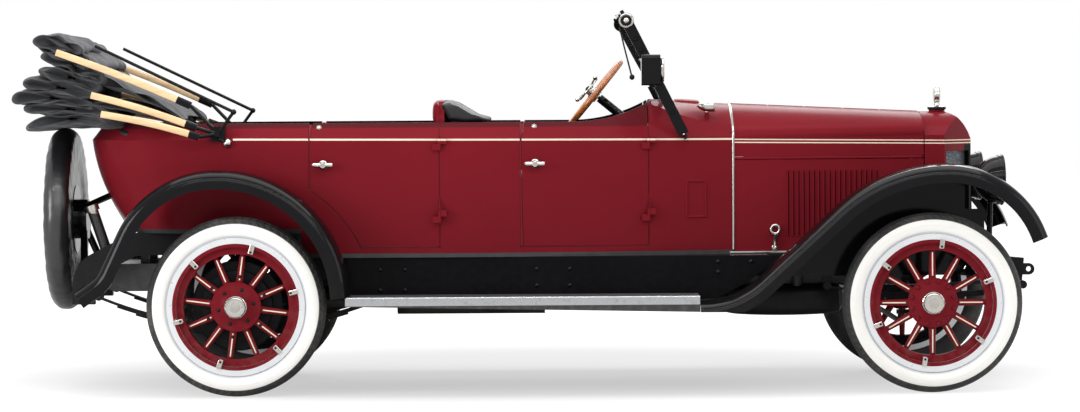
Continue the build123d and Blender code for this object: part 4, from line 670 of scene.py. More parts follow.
def core_finish(name):
    """Honeycomb radiator core: rows of small cells, blue-grey at the walls, with painted shade, near black, in
    the middle of each cell where it opens into the core.
    """
    core = Finish(name)
    y, z = core.axes()[1:]
    flat = core.node("ShaderNodeCombineXYZ")
    core.put(flat.inputs[0], y)
    core.put(flat.inputs[1], z)
    wall = core.cells(130, flat.outputs[0], "DISTANCE_TO_EDGE")
    painted_cell_shade = core.mask(wall, 0.06, 0.2)
    # Painted shade: the middle of each cell is near black, rough and not metal, for the shade down its tube
    tone = core.mix(painted_cell_shade, (0.16, 0.19, 0.22, 1), (0.008, 0.01, 0.012, 1))
    tone = core.mix(core.mask(core.noise(30, 4), 0.55, 0.8), tone, (0.06, 0.055, 0.05, 1))
    core.bump(painted_cell_shade, -0.003, 0.8)
    return core.done(tone, core.level(painted_cell_shade, 0.35, 0.8), core.level(painted_cell_shade, 0.7, 0.0))


def wheel_frame(finish, centre, out):
    """Radius and outward depth of the surface about a wheel's axle, and its x and z from that axle."""
    x, y, z = finish.axes()
    right = finish.minus(x, centre[0])
    up = finish.minus(z, centre[2])
    squares = finish.plus(finish.times(right, right), finish.times(up, up))
    depth = finish.times(finish.minus(y, centre[1]), float(out))
    return finish.math("SQRT", squares), depth, right, up


SPOKES = 12
REAR_SPOKE_TURN = radians(-7.4)
SPOKE_LINE_R, SPOKE_LINE_HALF = 0.186, 0.056
FELLOE_R = 0.305
RIM_EDGE_R = 0.345
DRUM_DEPTH = -0.0205
CAP_DEPTH = 0.057
LUG_DEPTH = 0.0285
WHITE_R = 0.401


def wheel_finish(name, centre, out, turn):
    """Painted spokes with a cream line along each, silver rim, nickel hub and black drum, by radius and depth."""
    c = colours()
    wheel = Finish(name, LACQUER)
    radius, depth, right, up = wheel_frame(wheel, centre, out)
    angle = wheel.plus(wheel.math("ARCTAN2", up, right), 2 * pi + turn * out)
    arc = wheel.times(wheel.math("PINGPONG", angle, pi / SPOKES), radius)
    line = wheel.times(wheel.mask(arc, 0.0034, 0.0024),
                       wheel.band(radius, SPOKE_LINE_R, SPOKE_LINE_HALF, 0.002),
                       wheel.mask(depth, 0.006, 0.009))
    tone = wheel.shade(wheel.noise(9, 3), c.body, 0.8, 1.2)
    tone = wheel.mix(line, tone, (*c.stripe, 1))
    tone = wheel.dusty(tone, 0.14)
    drum = wheel.mask(depth, DRUM_DEPTH + SHARP, DRUM_DEPTH - SHARP)
    tone = wheel.mix(drum, tone, scaled(c.chassis, 1.2))
    lugs = wheel.times(wheel.mask(depth, LUG_DEPTH, LUG_DEPTH + SHARP), wheel.mask(radius, 0.250, 0.255),
                      wheel.mask(depth, 0.0405, 0.0400))
    rim = wheel.math("MAXIMUM", wheel.mask(radius, FELLOE_R, FELLOE_R + 0.001), lugs)
    silver = wheel.shade(wheel.noise(11, 2), c.aluminium, 1.25, 1.5)
    tone = wheel.mix(rim, tone, silver)
    cap = wheel.times(wheel.mask(depth, CAP_DEPTH, CAP_DEPTH + 0.001), wheel.mask(radius, 0.06, 0.055))
    tone = wheel.mix(cap, tone, (*c.nickel, 1))
    bright = wheel.math("MAXIMUM", rim, cap)
    wheel.bump(wheel.noise(70, 2), 0.0002, 0.05)
    return wheel.done(tone, wheel.level(wheel.noise(20, 3), 0.24, 0.34), wheel.times(bright, 0.55))


def tyre_finish(name, centre, out):
    """Rubber with a white outer wall: concentric mould lines on the wall, blocks and grooves on the tread."""
    c = colours()
    tyre = Finish(name)
    radius, depth, right, up = wheel_frame(tyre, centre, out)
    wall = tyre.times(tyre.mask(depth, 0.012, 0.014), tyre.mask(radius, WHITE_R + 0.001, WHITE_R - 0.001))
    white = tyre.shade(tyre.noise(7, 3), c.white_wall, 0.96, 1.03)
    scuff = tyre.times(tyre.mask(radius, 0.37, WHITE_R), tyre.mask(tyre.noise(30, 5), 0.5, 0.85))
    white = tyre.mix(tyre.times(scuff, 0.12), white, (*c.dust, 1))
    black = tyre.shade(tyre.noise(22, 4), c.rubber, 0.7, 2.2)
    black = tyre.mix(tyre.times(tyre.mask(tyre.noise(9, 4), 0.4, 0.8), 0.25), black, (*c.dust, 1))
    angle = tyre.math("ARCTAN2", up, right)
    tread = tyre.mask(radius, WHITE_R + 0.002, WHITE_R + 0.006)
    blocks = tyre.math("SINE", tyre.times(angle, 72.0))
    grooves = tyre.math("SINE", tyre.times(depth, 320.0))
    tyre.bump(tyre.times(tread, tyre.math("MAXIMUM", blocks, grooves)), 0.004, 0.8)
    rings = tyre.band(tyre.math("PINGPONG", radius, 0.0375), 0.0, 0.0012, 0.0008)
    tyre.bump(tyre.times(rings, tyre.minus(1.0, tread)), 0.0012, 0.7)
    white = tyre.mix(tyre.mask(radius, RIM_EDGE_R + SHARP, RIM_EDGE_R - SHARP), white, scaled(c.aluminium, 1.3))
    return tyre.done(tyre.mix(wall, black, white), tyre.level(wall, 0.75, 0.5))


def steering_finish(name, hub, axis):
    """Varnished wood rim on bright spokes, told apart by the distance from the column's line."""
    c = colours()
    wheel = Finish(name, {"Coat Weight": 0.5, "Coat Roughness": 0.1})
    arm = wheel.vector("SUBTRACT", wheel.place, hub)
    far = wheel.vector("LENGTH", wheel.vector("CROSS_PRODUCT", arm, axis), result="Value")
    rim = wheel.mask(far, 0.188, 0.190)
    grain = wheel.noise(60, 5, wheel.stretched((1, 1, 4)))
    wood = wheel.shade(grain, c.rim_wood, 0.6, 1.4)
    tone = wheel.mix(rim, (*c.aluminium, 1), wood)
    return wheel.done(tone, wheel.level(grain, 0.22, 0.36), wheel.minus(1.0, rim))


def tank_finish(name):
    """Satin dark tank with a plated filler cap above the shoulder."""
    c = colours()
    tank = Finish(name)
    cap = tank.mask(tank.axes()[2], 0.872, 0.876)
    tone = tank.shade(tank.noise(6, 4), c.chassis, 1.0, 2.4)
    tone = tank.mix(cap, tank.dusty(tone, 0.3), (*c.nickel, 1))
    tank.bump(tank.noise(200, 2), 0.0003, 0.3)
    return tank.done(tone, tank.level(tank.noise(10, 3), 0.25, 0.42), cap)


def cap_finish(name, collar_z, plate_z):
    """Painted foot, dark collar and plated top of a small fitting, told apart by height."""
    c = colours()
    cap = Finish(name, LACQUER)
    z = cap.axes()[2]
    tone = cap.shade(cap.noise(30, 3), c.body, 0.9, 1.1)
    tone = cap.mix(cap.mask(z, collar_z - SHARP, collar_z + SHARP), tone, scaled(c.chassis, 1.5))
    plate = cap.mask(z, plate_z - SHARP, plate_z + SHARP)
    tone = cap.mix(plate, tone, (*c.nickel, 1))
    return cap.done(tone, cap.level(cap.noise(40, 3), 0.14, 0.3), plate)


def louvre_paint(name):
    """Hood side: coach paint with painted shade, near black, in a slit behind each louvre, at even steps along
    the leaf.
    """
    c = colours()
    paint = Finish(name, LACQUER)
    x, _, z = paint.axes()
    tone = paint.shade(paint.noise(1.6, 3), c.body, 0.86, 1.14)
    away = paint.math("PINGPONG", paint.minus(x, LOUVRE_START + 0.0055), LOUVRE_PITCH / 2)
    painted_slit_shade = paint.band(away, 0.0, 0.0026, 0.0008)
    field = paint.times(paint.band(z, LOUVRE_Z, LOUVRE_HALF - 0.006),
                        paint.mask(x, LOUVRE_START - 0.008, LOUVRE_START - 0.007),
                        paint.mask(x, LOUVRE_END + 0.011, LOUVRE_END + 0.010))
    # Painted shade: the slit behind each louvre is darkened to 6 percent of the body colour
    tone = paint.mix(paint.times(painted_slit_shade, field, 0.9), tone, scaled(c.body, 0.06))
    tone = paint.dusty(tone, 0.05)
    paint.bump(paint.noise(420, 2), 0.0002, 0.15)
    return paint.done(tone, paint.level(paint.noise(14, 4), 0.16, 0.28))


def handle_place(node):
    """Where a door's handle is held, along the car, and how far out its bar lies."""
    low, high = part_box(node)
    return low[0] + 0.0005 + HANDLE_AHEAD, max(abs(low[1]), abs(high[1])) - HANDLE_BAR_R


def wheel_rows():
    """For each wheel: axle name, side name, body name, centre, outward sign and spoke turn."""
    return [(axle, side, f"{axle}_wheel_{side}", np.array(HINGES[f"{axle}_wheel_{side}_spin"]["pos_m"]), out,
             REAR_SPOKE_TURN if axle == "rear" else 0.0)
            for axle in AXLES for side, out in SIDES]


def dress(node, material):
    """Gives a CAD node a finish."""
    if node in NODES:
        for place in NODES[node].material_slots:
            place.material = material


class TOURING_OT_finishes(bpy.types.Operator):
    """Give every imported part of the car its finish"""

    bl_idname = "touring_car.finishes"
    bl_label = "Car Finishes"

    def execute(self, context):
        c, s = colours(), sizes()
        body = coach_paint("body_panels", BELT_LINES, s.stripe / 2, True, True, STRIPE_REAR_X)
        hood = coach_paint("hood_leaves", HOOD_LINES, s.hood_stripe / 2)
        cowl = coach_paint("cowl_panel", BELT_LINES, s.stripe / 2, True)
        shell = coach_paint("radiator_shell_paint", HOOD_LINES, s.hood_stripe / 2,
                            patches=(((2.175, -1.0, 0.5), (2.3, 1.0, 1.185), c.enamel, 0.0),))
        black = enamel("black_enamel", c.enamel)
        frame_paint = enamel("chassis_satin", c.chassis, (0.38, 0.58), 0.08, 0.0, 0.1)
        pads = leather_finish("seat_leather")
        plain = {
            "cowl": cowl, "rear_tub": body, "side_panels": body, "radiator_shell": shell,
            "front_seat_shell": coach_paint("seat_shell_paint"),
            "engine": cast_iron("engine_castings", (0.05, 0.052, 0.053)),
            "fuel_tank": tank_finish("tank_paint"),
            "exhaust": cast_iron("exhaust_steel", (0.035, 0.031, 0.028), 120, (0.4, 0.6), 0.0006),
            "floor": rubber_finish("floor_mat", 60),
            "dashboard": timber("instrument_board", c.board_wood, (60, 6, 60)),
            "seat_boxes": pads, "seat_cushions": pads,
            "radiator_core": core_finish("honeycomb_core"),
            "radiator_cap": cap_finish("filler_cap", 1.3560, 1.3715),
            "lamp_lenses": lens_finish("lamp_glass"),
            "cowl_lamps": cap_finish("cowl_lamp_shells", 1.3550, 1.3550),
            "running_boards": rubber_finish("board_cover", 55),
            "top_cloth": canvas_finish("packed_canvas"),
            "windshield_glass": glass_finish("plate_glass", (0.93, 0.97, 0.95)),
            "top_bows": timber("packed_bow_wood", c.bow_wood, (10, 90, 90)),
            "spare_wheel": oilcloth_finish("packed_cover"),
            "splash_aprons": enamel("apron_enamel", c.enamel, (0.2, 0.3), 0.03, 0.0, 0.03),
        }
        for node in ("front_fenders", "rear_fenders", "headlamps", "windshield_frame", "spot_lamp",
                     "top_irons", "spare_carrier", "steering_column"):
            plain[node] = black
        for node in ("chassis_rails", "cross_members", "tow_eyes", "leaf_springs", "front_axle", "rear_axle",
                     "hood_rod", "tie_rod", "knuckle_left", "knuckle_right"):
            plain[node] = frame_paint
        for axle in AXLES:
            grip, reach = handle_place(f"door_{axle}_left")
            patch = ((grip - 0.034, reach - 0.024, HANDLE_Z - 0.03),
                     (grip + 0.066, reach + 0.02, HANDLE_Z + 0.03), c.nickel, 1.0)
            door = coach_paint(f"{axle}_doors", BELT_LINES, s.stripe / 2, True, True, patches=(patch,))
            for side, _ in SIDES:
                plain[f"door_{axle}_{side}"] = door
        for side, _ in SIDES:
            plain[f"hood_top_{side}"] = hood
            plain[f"hood_side_{side}"] = louvre_paint("hood_sides")
        for axle, side, _, centre, out, turn in wheel_rows():
            plain[f"wheel_{axle}_{side}"] = wheel_finish(f"spokes_{axle}_{side}", centre, out, turn)
            plain[f"tyre_{axle}_{side}"] = tyre_finish(f"rubber_{axle}_{side}", centre, out)
        column = HINGES["steering_wheel_turn"]
        plain["steering_wheel"] = steering_finish("steering_rim", column["pos_m"], column["axis"])
        for node, material in plain.items():
            dress(node, material)
        bare = sorted(set(NODES) - set(plain))
        if bare:
            raise RuntimeError(f"no finish for {bare}")
        return {"FINISHED"}


# Bolts of the hubs: number, radius of their circle and radius of a head
HUB_BOLTS = {"front": ((12, 0.104, 0.0125),), "rear": ((6, 0.086, 0.010), (6, 0.146, 0.0095))}
FLANGE_R = 0.121
BOLT_SEAT, OUTER_BOLT_SEAT = 0.0275, 0.013
LUGS, LUG_R, LUG_SEAT, LUG_TURN = 6, 0.274, 0.034, radians(21.5)
CLAMP_R, CLAMP_SEAT = (0.266, 0.308), 0.046
# Sections of turned parts: radius and height along the axle
FLANGE = ((0.05, 0.016), (FLANGE_R - 0.003, 0.018), (FLANGE_R, 0.022), (FLANGE_R - 0.003, 0.027),
          (0.075, 0.031), (0.062, 0.040), (0.050, 0.044), (0.050, 0.016))
HUB_CAP = ((0.0505, 0.050), (0.0535, 0.052), (0.0535, 0.058), (0.0505, 0.060), (0.0505, 0.080),
           (0.047, 0.086), (0.040, 0.0885), (0.036, 0.0878), (0.0, 0.0885))
CAP_HEX = ((0.050, 0.060), (0.0545, 0.061), (0.0545, 0.072), (0.050, 0.073))
LUG_BOLT = ((0, 0), (0.0065, 0), (0.0065, 0.030), (0.005, 0.032), (0, 0.0325))
DUST_SHIELD = ((0.03, -0.104), (0.214, -0.104), (0.220, -0.100), (0.220, -0.090), (0.216, -0.086),
               (0.214, -0.098), (0.03, -0.098), (0.03, -0.104))


class TOURING_OT_wheel_trim(bpy.types.Operator):
    """Hub flanges, bolts, hub caps, rim lugs, valves and dust shields of the four wheels"""

    bl_idname = "touring_car.wheel_trim"
    bl_label = "Wheel Trim"

    def execute(self, context):
        c = colours()
        nickel = plated("wheel_nickel", c.nickel)
        red = coach_paint("hub_paint")
        dark = enamel("shield_black", c.chassis, (0.4, 0.6))
        heads = {"front": coach_paint("bolt_paint"), "rear": enamel("bolt_black", c.chassis, (0.2, 0.35))}
        for axle, side, body, centre, out, turn in wheel_rows():
            way = Y_AXIS * out
            add_piece(f"hub_flange_{axle}_{side}", turned(FLANGE, centre, way, 64), red, body)
            bolts = []
            for count, radius, head in HUB_BOLTS[axle]:
                rise = BOLT_SEAT if radius < FLANGE_R else OUTER_BOLT_SEAT
                bolt = dome(centre + X_AXIS * radius + way * rise, way, head, head * 0.95, 12, 6)
                start = turn + (pi / SPOKES if count == SPOKES else radius * 3.6)
                bolts.append(round_axis(bolt, centre, way, start + np.arange(count) * 2 * pi / count))
            add_piece(f"hub_bolts_{axle}_{side}", joined(*bolts), heads[axle], body)
            seat = centre + X_AXIS * LUG_R + way * LUG_SEAT
            spots = turn + LUG_TURN + np.arange(LUGS) * pi / (LUGS / 2)
            lugs = round_axis(turned(LUG_BOLT, seat, way, 6), centre, way, spots)
            run = np.linspace(*(centre + X_AXIS * radius + way * CLAMP_SEAT for radius in CLAMP_R), 5)
            blocks = round_axis(carried(oval(0.0125, 0.0145, 8, 16), run, up=way), centre, way, spots)
            cap = turned(HUB_CAP, centre, way, 48)
            sides = turned(CAP_HEX, centre, way, 6)
            valve = bar(centre + np.array((0.165, 0, 0.178)) + way * 0.004,
                        centre + np.array((0.150, 0, 0.162)) + way * 0.012, 0.0045)
            add_piece(f"hub_cap_{axle}_{side}", joined(cap, sides, valve, blocks), nickel, body, 30)
            add_piece(f"lug_bolts_{axle}_{side}", lugs, heads["rear"], body)
            if axle == "rear":
                add_piece(f"dust_shield_{side}", turned(DUST_SHIELD, centre, way, 64), dark)
        return {"FINISHED"}


HANDLE_OFF = 0.030
HANDLE_HALF = 0.051
BUTTON_Z = 1.290
HANDLE_BOSS = ((0, -HANDLE_OFF - 0.004), (0.022, -HANDLE_OFF - 0.004), (0.022, -HANDLE_OFF + 0.005),
               (0.016, -HANDLE_OFF + 0.010), (0.0125, -0.012), (0.0165, 0.0), (0.014, 0.008), (0, 0.011))
SHUT_LINES = {"front": (-0.039, 0.590), "rear": (-1.062, -0.425)}
PILLARS = {"front": ("side_panels", "cowl"), "rear": ("rear_tub", "side_panels")}
SILL_Z = 0.707
SHOULDER_Z = 1.304
ARCH_CENTRE = (-1.408, 0.434)
ARCH_R = 0.655
SEAL_SUNK = 0.0074
SEAL_WIDE, SEAL_DEEP, SEAL_POINTS = 0.006, 0.0018, 12
BODY_HALF = 0.640
SHUT_SLANT = 0.2


def seal_strip(node, spots, inset, way, out, latch=False):
    """A strip carried along a shut line, which holds the painted shade of the gap: each spot is found on the
    panel beside it, moved over and sunk in.
    On the latch side it is then widened about its rear edge by the slant of the shut line, 0.2 of the way in."""
    beside = [skin(node, (x - over[0], out * 1.2, z - over[1]), (0, -out, 0))[0]
              for (x, z), over in zip(spots, inset)]
    path = np.array([(x, hit[1] - out * SEAL_SUNK, z) for (x, z), hit in zip(spots, beside)])
    strip, faces = carried(oval(SEAL_WIDE, SEAL_DEEP, 5, 12), path, up=way)
    if latch:
        wide = 0.0037 + SHUT_SLANT * (BODY_HALF - np.abs(path[:, 1]) - SEAL_SUNK)
        grow = np.interp(strip[:, 2], path[:, 2], wide) / 0.0036
        strip[:, 0] = path[0, 0] + (strip[:, 0] - path[0, 0] + SEAL_DEEP) * grow - SEAL_DEEP
    return strip, faces


class TOURING_OT_door_seals(bpy.types.Operator):
    """Strips along the shut lines of the four doors, in body paint darkened as painted shade of the gaps"""

    bl_idname = "touring_car.door_seals"
    bl_label = "Door Seals"

    def execute(self, context):
        # Painted shade: the strips are the body colour darkened to three quarters, to stand for the dark gap of
        # each shut line
        seal_shade_paint = enamel("seal_painted_shade", tuple(0.75 * v for v in colours().body), (0.5, 0.7))
        strips = []
        for axle in AXLES:
            rear, front = SHUT_LINES[axle]
            behind, ahead = PILLARS[axle]
            foot = SILL_Z + 0.006
            heel = rear
            for _, out in SIDES:
                if axle == "rear":
                    foot = ARCH_CENTRE[1] + (ARCH_R**2 - (rear - ARCH_CENTRE[0])**2) ** 0.5 + 0.004
                    far = ARCH_R + 0.0020
                    turns = np.linspace(np.arccos((rear + 0.004 - ARCH_CENTRE[0]) / far),
                                        np.arcsin((SILL_Z + 0.004 - ARCH_CENTRE[1]) / far), 14)
                    arc = [(ARCH_CENTRE[0] + far * cos(a), ARCH_CENTRE[1] + far * sin(a)) for a in turns]
                    over = [(0.006 * cos(a), 0.006 * sin(a)) for a in turns]
                    strips.append(seal_strip(behind, arc, over, (0, 0, 1), out))
                    heel = arc[-1][0]
                rising = np.sin(np.linspace(0, pi / 2, SEAL_POINTS))
                tall = foot + (SHOULDER_Z - foot) * rising
                latch = [(rear + 0.0021, z) for z in tall]
                strips.append(seal_strip(behind, latch, [(0.012, 0)] * SEAL_POINTS, (1, 0, 0), out, True))
                tall = SILL_Z + 0.006 + (SHOULDER_Z - SILL_Z - 0.006) * rising
                hinge = [(front - 0.0020, z) for z in tall]
                strips.append(seal_strip(ahead, hinge, [(-0.006, 0)] * SEAL_POINTS, (1, 0, 0), out))
                sill = [(x, SILL_Z + 0.0020) for x in np.linspace(heel + 0.006, front - 0.006, SEAL_POINTS)]
                strips.append(seal_strip("side_panels", sill, [(0, 0.006)] * SEAL_POINTS, (0, 0, 1), out))
        add_piece("door_seals", joined(*strips), seal_shade_paint)
        return {"FINISHED"}


class TOURING_OT_door_handles(bpy.types.Operator):
    """Curved plated handles and latch buttons on the four doors"""

    bl_idname = "touring_car.door_handles"
    bl_label = "Door Handles"

    def execute(self, context):
        nickel = plated("handle_nickel", colours().nickel)
        grip_r = sizes().handle
        for side, out in SIDES:
            for axle in AXLES:
                node = f"door_{axle}_{side}"
                grip, reach = handle_place(node)
                way = Y_AXIS * out
                centre = np.array((grip + 0.0155, out * reach, HANDLE_Z))
                boss = turned(HANDLE_BOSS, centre, way, 24)
                share = np.linspace(-1, 1, 25)
                path = centre + share[:, None] * X_AXIS * HANDLE_HALF
                ends = (1.05 + 0.25 * np.abs(share)) * np.sqrt(np.maximum(0.03, 1 - share**10))
                grip_bar = carried(oval(grip_r, grip_r * 1.1, steps=14), path, ends=ends)
                spot_x = grip - 0.006 if axle == "rear" else grip + 0.012
                spot = skin(node, (spot_x, out * 1.5, BUTTON_Z), (0, -out, 0))[0]
                button = joined(dome(spot - way * 0.001, way, 0.011, 0.008),
                                washer(spot, way, 0.012, 0.0025, 24, 6))
                handle = joined(boss, grip_bar, button)
                add_piece(f"door_handle_{axle}_{side}", handle, nickel, node, 35)
        return {"FINISHED"}


COWL_X = 1.004
HOOD_REAR_HALF = 0.410
HOOD_FRONT = (1.955, 0.300)
HOOD_ARCH_TOP = 1.394
HOOD_EDGE_Z = 1.263
HOOD_TAPER = 0.115
BEAD_LEG_Z = (0.682, 1.25)
STRIP_X, STRIP_Z = (0.985, 1.950), 0.667
BARREL_X, BARREL_R = (1.0105, 1.9485), 0.0073
LATCH_X, LATCH_Z = (1.208, 1.745), 0.684
LATCH_POST = ((0, 0), (0.013, 0), (0.013, 0.008), (0.009, 0.012), (0.0085, 0.060), (0.011, 0.064), (0, 0.070))
RIVETS, RIVET_X, RIVET_Z = 40, (1.03, 1.93), 0.745
LID_X, LID_HALF_X, LID_HALF_Y, LID_SWELL = 0.795, 0.065, 0.12, 0.012
LID_ROWS, LID_COLS = 17, 25
PANEL_X = (0.775, 0.868)
PANEL_Z = (0.845, 1.020)


def hood_side(x):
    """Half width of the hood at x, a straight taper from cowl to radiator."""
    return np.interp(x, (COWL_X, HOOD_FRONT[0]), (HOOD_REAR_HALF, HOOD_FRONT[1]))


class TOURING_OT_hood_trim(bpy.types.Operator):
    """Bead round the cowl, strips under the hood, latch handles, rivets and the cowl's vent lid and panels"""

    bl_idname = "touring_car.hood_trim"
    bl_label = "Hood and Cowl Trim"

    def execute(self, context):
        c = colours()
        nickel = plated("hood_nickel", c.nickel)
        paint = coach_paint("cowl_fittings")
        t = np.linspace(-1, 1, 41)
        arch = xyz(COWL_X + 0.001, HOOD_REAR_HALF * t,
                   HOOD_ARCH_TOP - (HOOD_ARCH_TOP - HOOD_EDGE_Z) * np.abs(t)**2.1)
        legs = xyz(COWL_X + 0.001, HOOD_REAR_HALF, np.linspace(*BEAD_LEG_Z, 24))
        path = np.concatenate((legs * (1, -1, 1), arch, legs[::-1]))
        bead = carried(oval(sizes().bead, sizes().bead, steps=10), curve_through(path, 160, 0.008), up=(1, 0, 0))
        add_piece("cowl_bead", bead, nickel)
        x = np.linspace(*STRIP_X, 12)
        strip = carried(oval(0.008, 0.007, 4, 12), xyz(x, hood_side(x) + 0.004, STRIP_Z))
        add_piece("hood_strip", mirrored(strip), nickel)
        for side, out in SIDES:
            latches = []
            for along in LATCH_X:
                face = out * hood_side(along)
                way = unit((HOOD_TAPER, out, 0))
                foot = np.array((along, face, LATCH_Z))
                post = turned(LATCH_POST, foot + way * 0.014, Z_AXIS, 16)
                ring = washer(foot + way * 0.016 + Z_AXIS * 0.094, way, 0.021, 0.0075, 28, 10)
                latches += [post, ring, dome(foot + Z_AXIS * 0.006, way, 0.017, 0.012)]
            add_piece(f"hood_latches_{side}", joined(*latches), nickel, f"hood_side_{side}")
            fold = HINGES[f"hood_side_{side}_fold"]
            line, at = unit(fold["axis"]), np.array(fold["pos_m"])
            ends = [at + line * (x - at[0]) / line[0] for x in BARREL_X]
            barrel = bar(*ends, BARREL_R, 20, 40)
            add_piece(f"hood_barrel_{side}", barrel, paint, f"hood_top_{side}")
            dots_x = np.linspace(*RIVET_X, RIVETS)
            dot = dome((0, 0, 0), unit((HOOD_TAPER, out, 0)), 0.0035, 0.002, 6, 3)
            rows = xyz(dots_x, out * hood_side(dots_x), RIVET_Z)
            add_piece(f"hood_rivets_{side}", repeated(dot, rows), paint, f"hood_side_{side}")
        lid_u, lid_v = np.meshgrid(np.linspace(-1, 1, LID_ROWS), np.linspace(-1, 1, LID_COLS), indexing="ij")
        swell = ((1 - np.abs(lid_u)**6) * (1 - np.abs(lid_v)**6)) ** 0.3
        lid_x = LID_X + LID_HALF_X * lid_u
        lid_y = LID_HALF_Y * lid_v
        base = np.array([skin("cowl", (LID_X + LID_HALF_X * u, LID_HALF_Y * v, 1.7), (0, 0, -1))[0][2]
                         for u in (-1, 0, 1) for v in (-1, 0, 1)]).reshape(3, 3)
        rear, middle, front = base[:, 1]
        left, right = base[1, 0], base[1, 2]
        seat = (middle + (front - rear) / 2 * lid_u + (front + rear - 2 * middle) / 2 * lid_u**2
                + (right + left - 2 * middle) / 2 * lid_v**2)
        top = xyz(lid_x, lid_y, seat - 0.002 + LID_SWELL * swell).reshape(-1, 3)
        foot = xyz(lid_x, lid_y, seat - 0.004).reshape(-1, 3)
        faces = grid_faces(LID_ROWS, LID_COLS)
        lid = joined((top, faces), (foot, faces[:, ::-1]))
        panels = []
        for _, out in SIDES:
            corners = [skin("cowl", (x, out * 1.2, z), (0, -out, 0)) for x in PANEL_X for z in PANEL_Z]
            low_rear, high_rear, low_front, high_front = [hit for hit, _ in corners]
            way = corners[0][1]
            ring = [low_rear, high_rear, high_front, low_front, low_rear]
            outline = np.concatenate([np.linspace(a, b, 14)[:-1] for a, b in zip(ring, ring[1:])])
            panels.append(carried(oval(0.006, 0.004, steps=10), outline + way * 0.001, up=way, ring=True))
        add_piece("cowl_fittings", joined(lid, *panels), paint)
        return {"FINISHED"}


GLASS_LEAN = radians(26.6)
SHIELD_PIVOT = (0.482, 0.505, 1.803)
PIVOT_DISC = ((0, -0.008), (0.037, -0.008), (0.038, -0.004), (0.038, 0.004), (0.030, 0.006), (0, 0.007))
SCREW_HEAD = ((0, -0.006), (0.010, -0.006), (0.012, 0.002), (0.009, 0.008), (0, 0.009))
# Stay of the windshield: its upper end, and its run in x and z down to the cowl
STAY_TOP, STAY_RUN = (0.494, 0.497, 1.782), (0.158, -0.307)
SMALL_LAMP_INNER_Y, SMALL_LAMP_Z = 0.322, 1.3855
SPOT_LAMP_R = 0.054
MIRROR_ROD = ((0.450, -0.512, 1.770), (0.470, -0.530, 1.68), (0.508, -0.545, 1.528))
# Screws of the windshield post: distance below the pivot, and whether the head is plated
SCREWS = ((0.10, False), (0.16, False), (0.22, True), (0.30, True), (0.50, False), (0.62, False))


class TOURING_OT_lamps_and_shield(bpy.types.Operator):
    """Lamp rims and lenses, windshield pivots, thumb screws, mirror rod and body fittings"""

    bl_idname = "touring_car.lamps_and_shield"
    bl_label = "Lamps and Windshield"

    def execute(self, context):
        c = colours()
        nickel = plated("lamp_nickel", c.nickel)
        black = enamel("rod_enamel", c.enamel)
        lens = lens_finish("small_lamp_glass")
        bright, clear, dark = [], [], []
        low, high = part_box("lamp_lenses")
        lamp_z = (low[2] + high[2]) / 2
        lamp_r = (high[2] - low[2]) / 2
        cowl_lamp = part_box("cowl_lamps")[1]
        side_r = (cowl_lamp[1] - SMALL_LAMP_INNER_Y) / 2
        share = np.linspace(0, 1, 16)
        taper = 1.0 - 0.3 * share**2
        along = np.array((-sin(GLASS_LEAN), 0, cos(GLASS_LEAN)))
        for _, out in SIDES:
            way = Y_AXIS * out
            lamp = np.array((high[0] - 0.016, out * (high[1] - lamp_r), lamp_z))
            dark.append(washer(lamp, X_AXIS, lamp_r + 0.006, 0.008, 64))
            pivot = np.array(SHIELD_PIVOT) * (1, out, 1)
            dark.append(turned(PIVOT_DISC, pivot, way, 40))
            bright.append(washer(pivot + way * 0.005, way, 0.031, 0.0055, 40))
            bright.append(dome(pivot + way * 0.006, way, 0.016, 0.014))
            for lean, height in ((-0.016, 0.040), (-0.030, 0.030)):
                dark.append(bar(pivot + (lean, 0, 0.010), pivot + (lean - 0.004, 0, height), 0.0055))
            stay = xyz(STAY_TOP[0] + STAY_RUN[0] * share, out * STAY_TOP[1], STAY_TOP[2] + STAY_RUN[1] * share)
            dark.append(carried(oval(0.006, 0.027, 5, 20), stay, up=(1, 0, 0.5), ends=taper))
            edge = stay + np.array((0.021, out * 0.006, 0.011)) * taper[:, None]
            dark.append(carried(oval(0.004, 0.004, steps=8), edge, up=(0, 1, 0)))
            for rise, bare in SCREWS:
                (bright if bare else dark).append(turned(SCREW_HEAD, pivot - along * rise, way, 20))
            bright.append(dome(pivot - along * 0.62 + way * 0.008, way, 0.006, 0.006))
            small = np.array((cowl_lamp[0] - 0.002, out * (cowl_lamp[1] - side_r), SMALL_LAMP_Z))
            bright.append(washer(small, X_AXIS, side_r - 0.002, 0.004, 32))
            clear.append(dome(small, X_AXIS, side_r - 0.003, 0.007, 24))
            ball = skin("rear_tub", (-1.455, out * 1.2, 1.22), (0, -out, 0))[0]
            bright.append(dome(ball - way * 0.002, way, 0.024, 0.034, 24, 8))
            dark.append(bar(ball + way * 0.012, np.array((-1.545, out * 0.606, 1.262)), 0.007))
        low, high = (np.array(v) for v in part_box("spot_lamp"))
        spot = (low + high) / 2
        spot[0] = high[0] - 0.004
        bright.append(washer(spot, X_AXIS, SPOT_LAMP_R, 0.009, 48))
        bright.append(dome(spot + np.array((-0.045, -0.052, 0.0)), -Y_AXIS, 0.012, 0.012))
        clear.append(dome(spot, X_AXIS, 0.050, 0.012, 32))
        rod = curve_through(MIRROR_ROD, 20, 0.05)
        dark.append(carried(oval(0.004, 0.004, steps=8), rod, up=(0, 1, 0)))
        dark.append(joined(dome(rod[-1], Z_AXIS, 0.013, 0.014), dome(rod[-1], -Z_AXIS, 0.013, 0.014)))
        add_piece("lamp_rims", joined(*bright), nickel, crisp=35)
        add_piece("small_lenses", joined(*clear), lens)
        add_piece("spot_rod", joined(*dark), black)
        return {"FINISHED"}


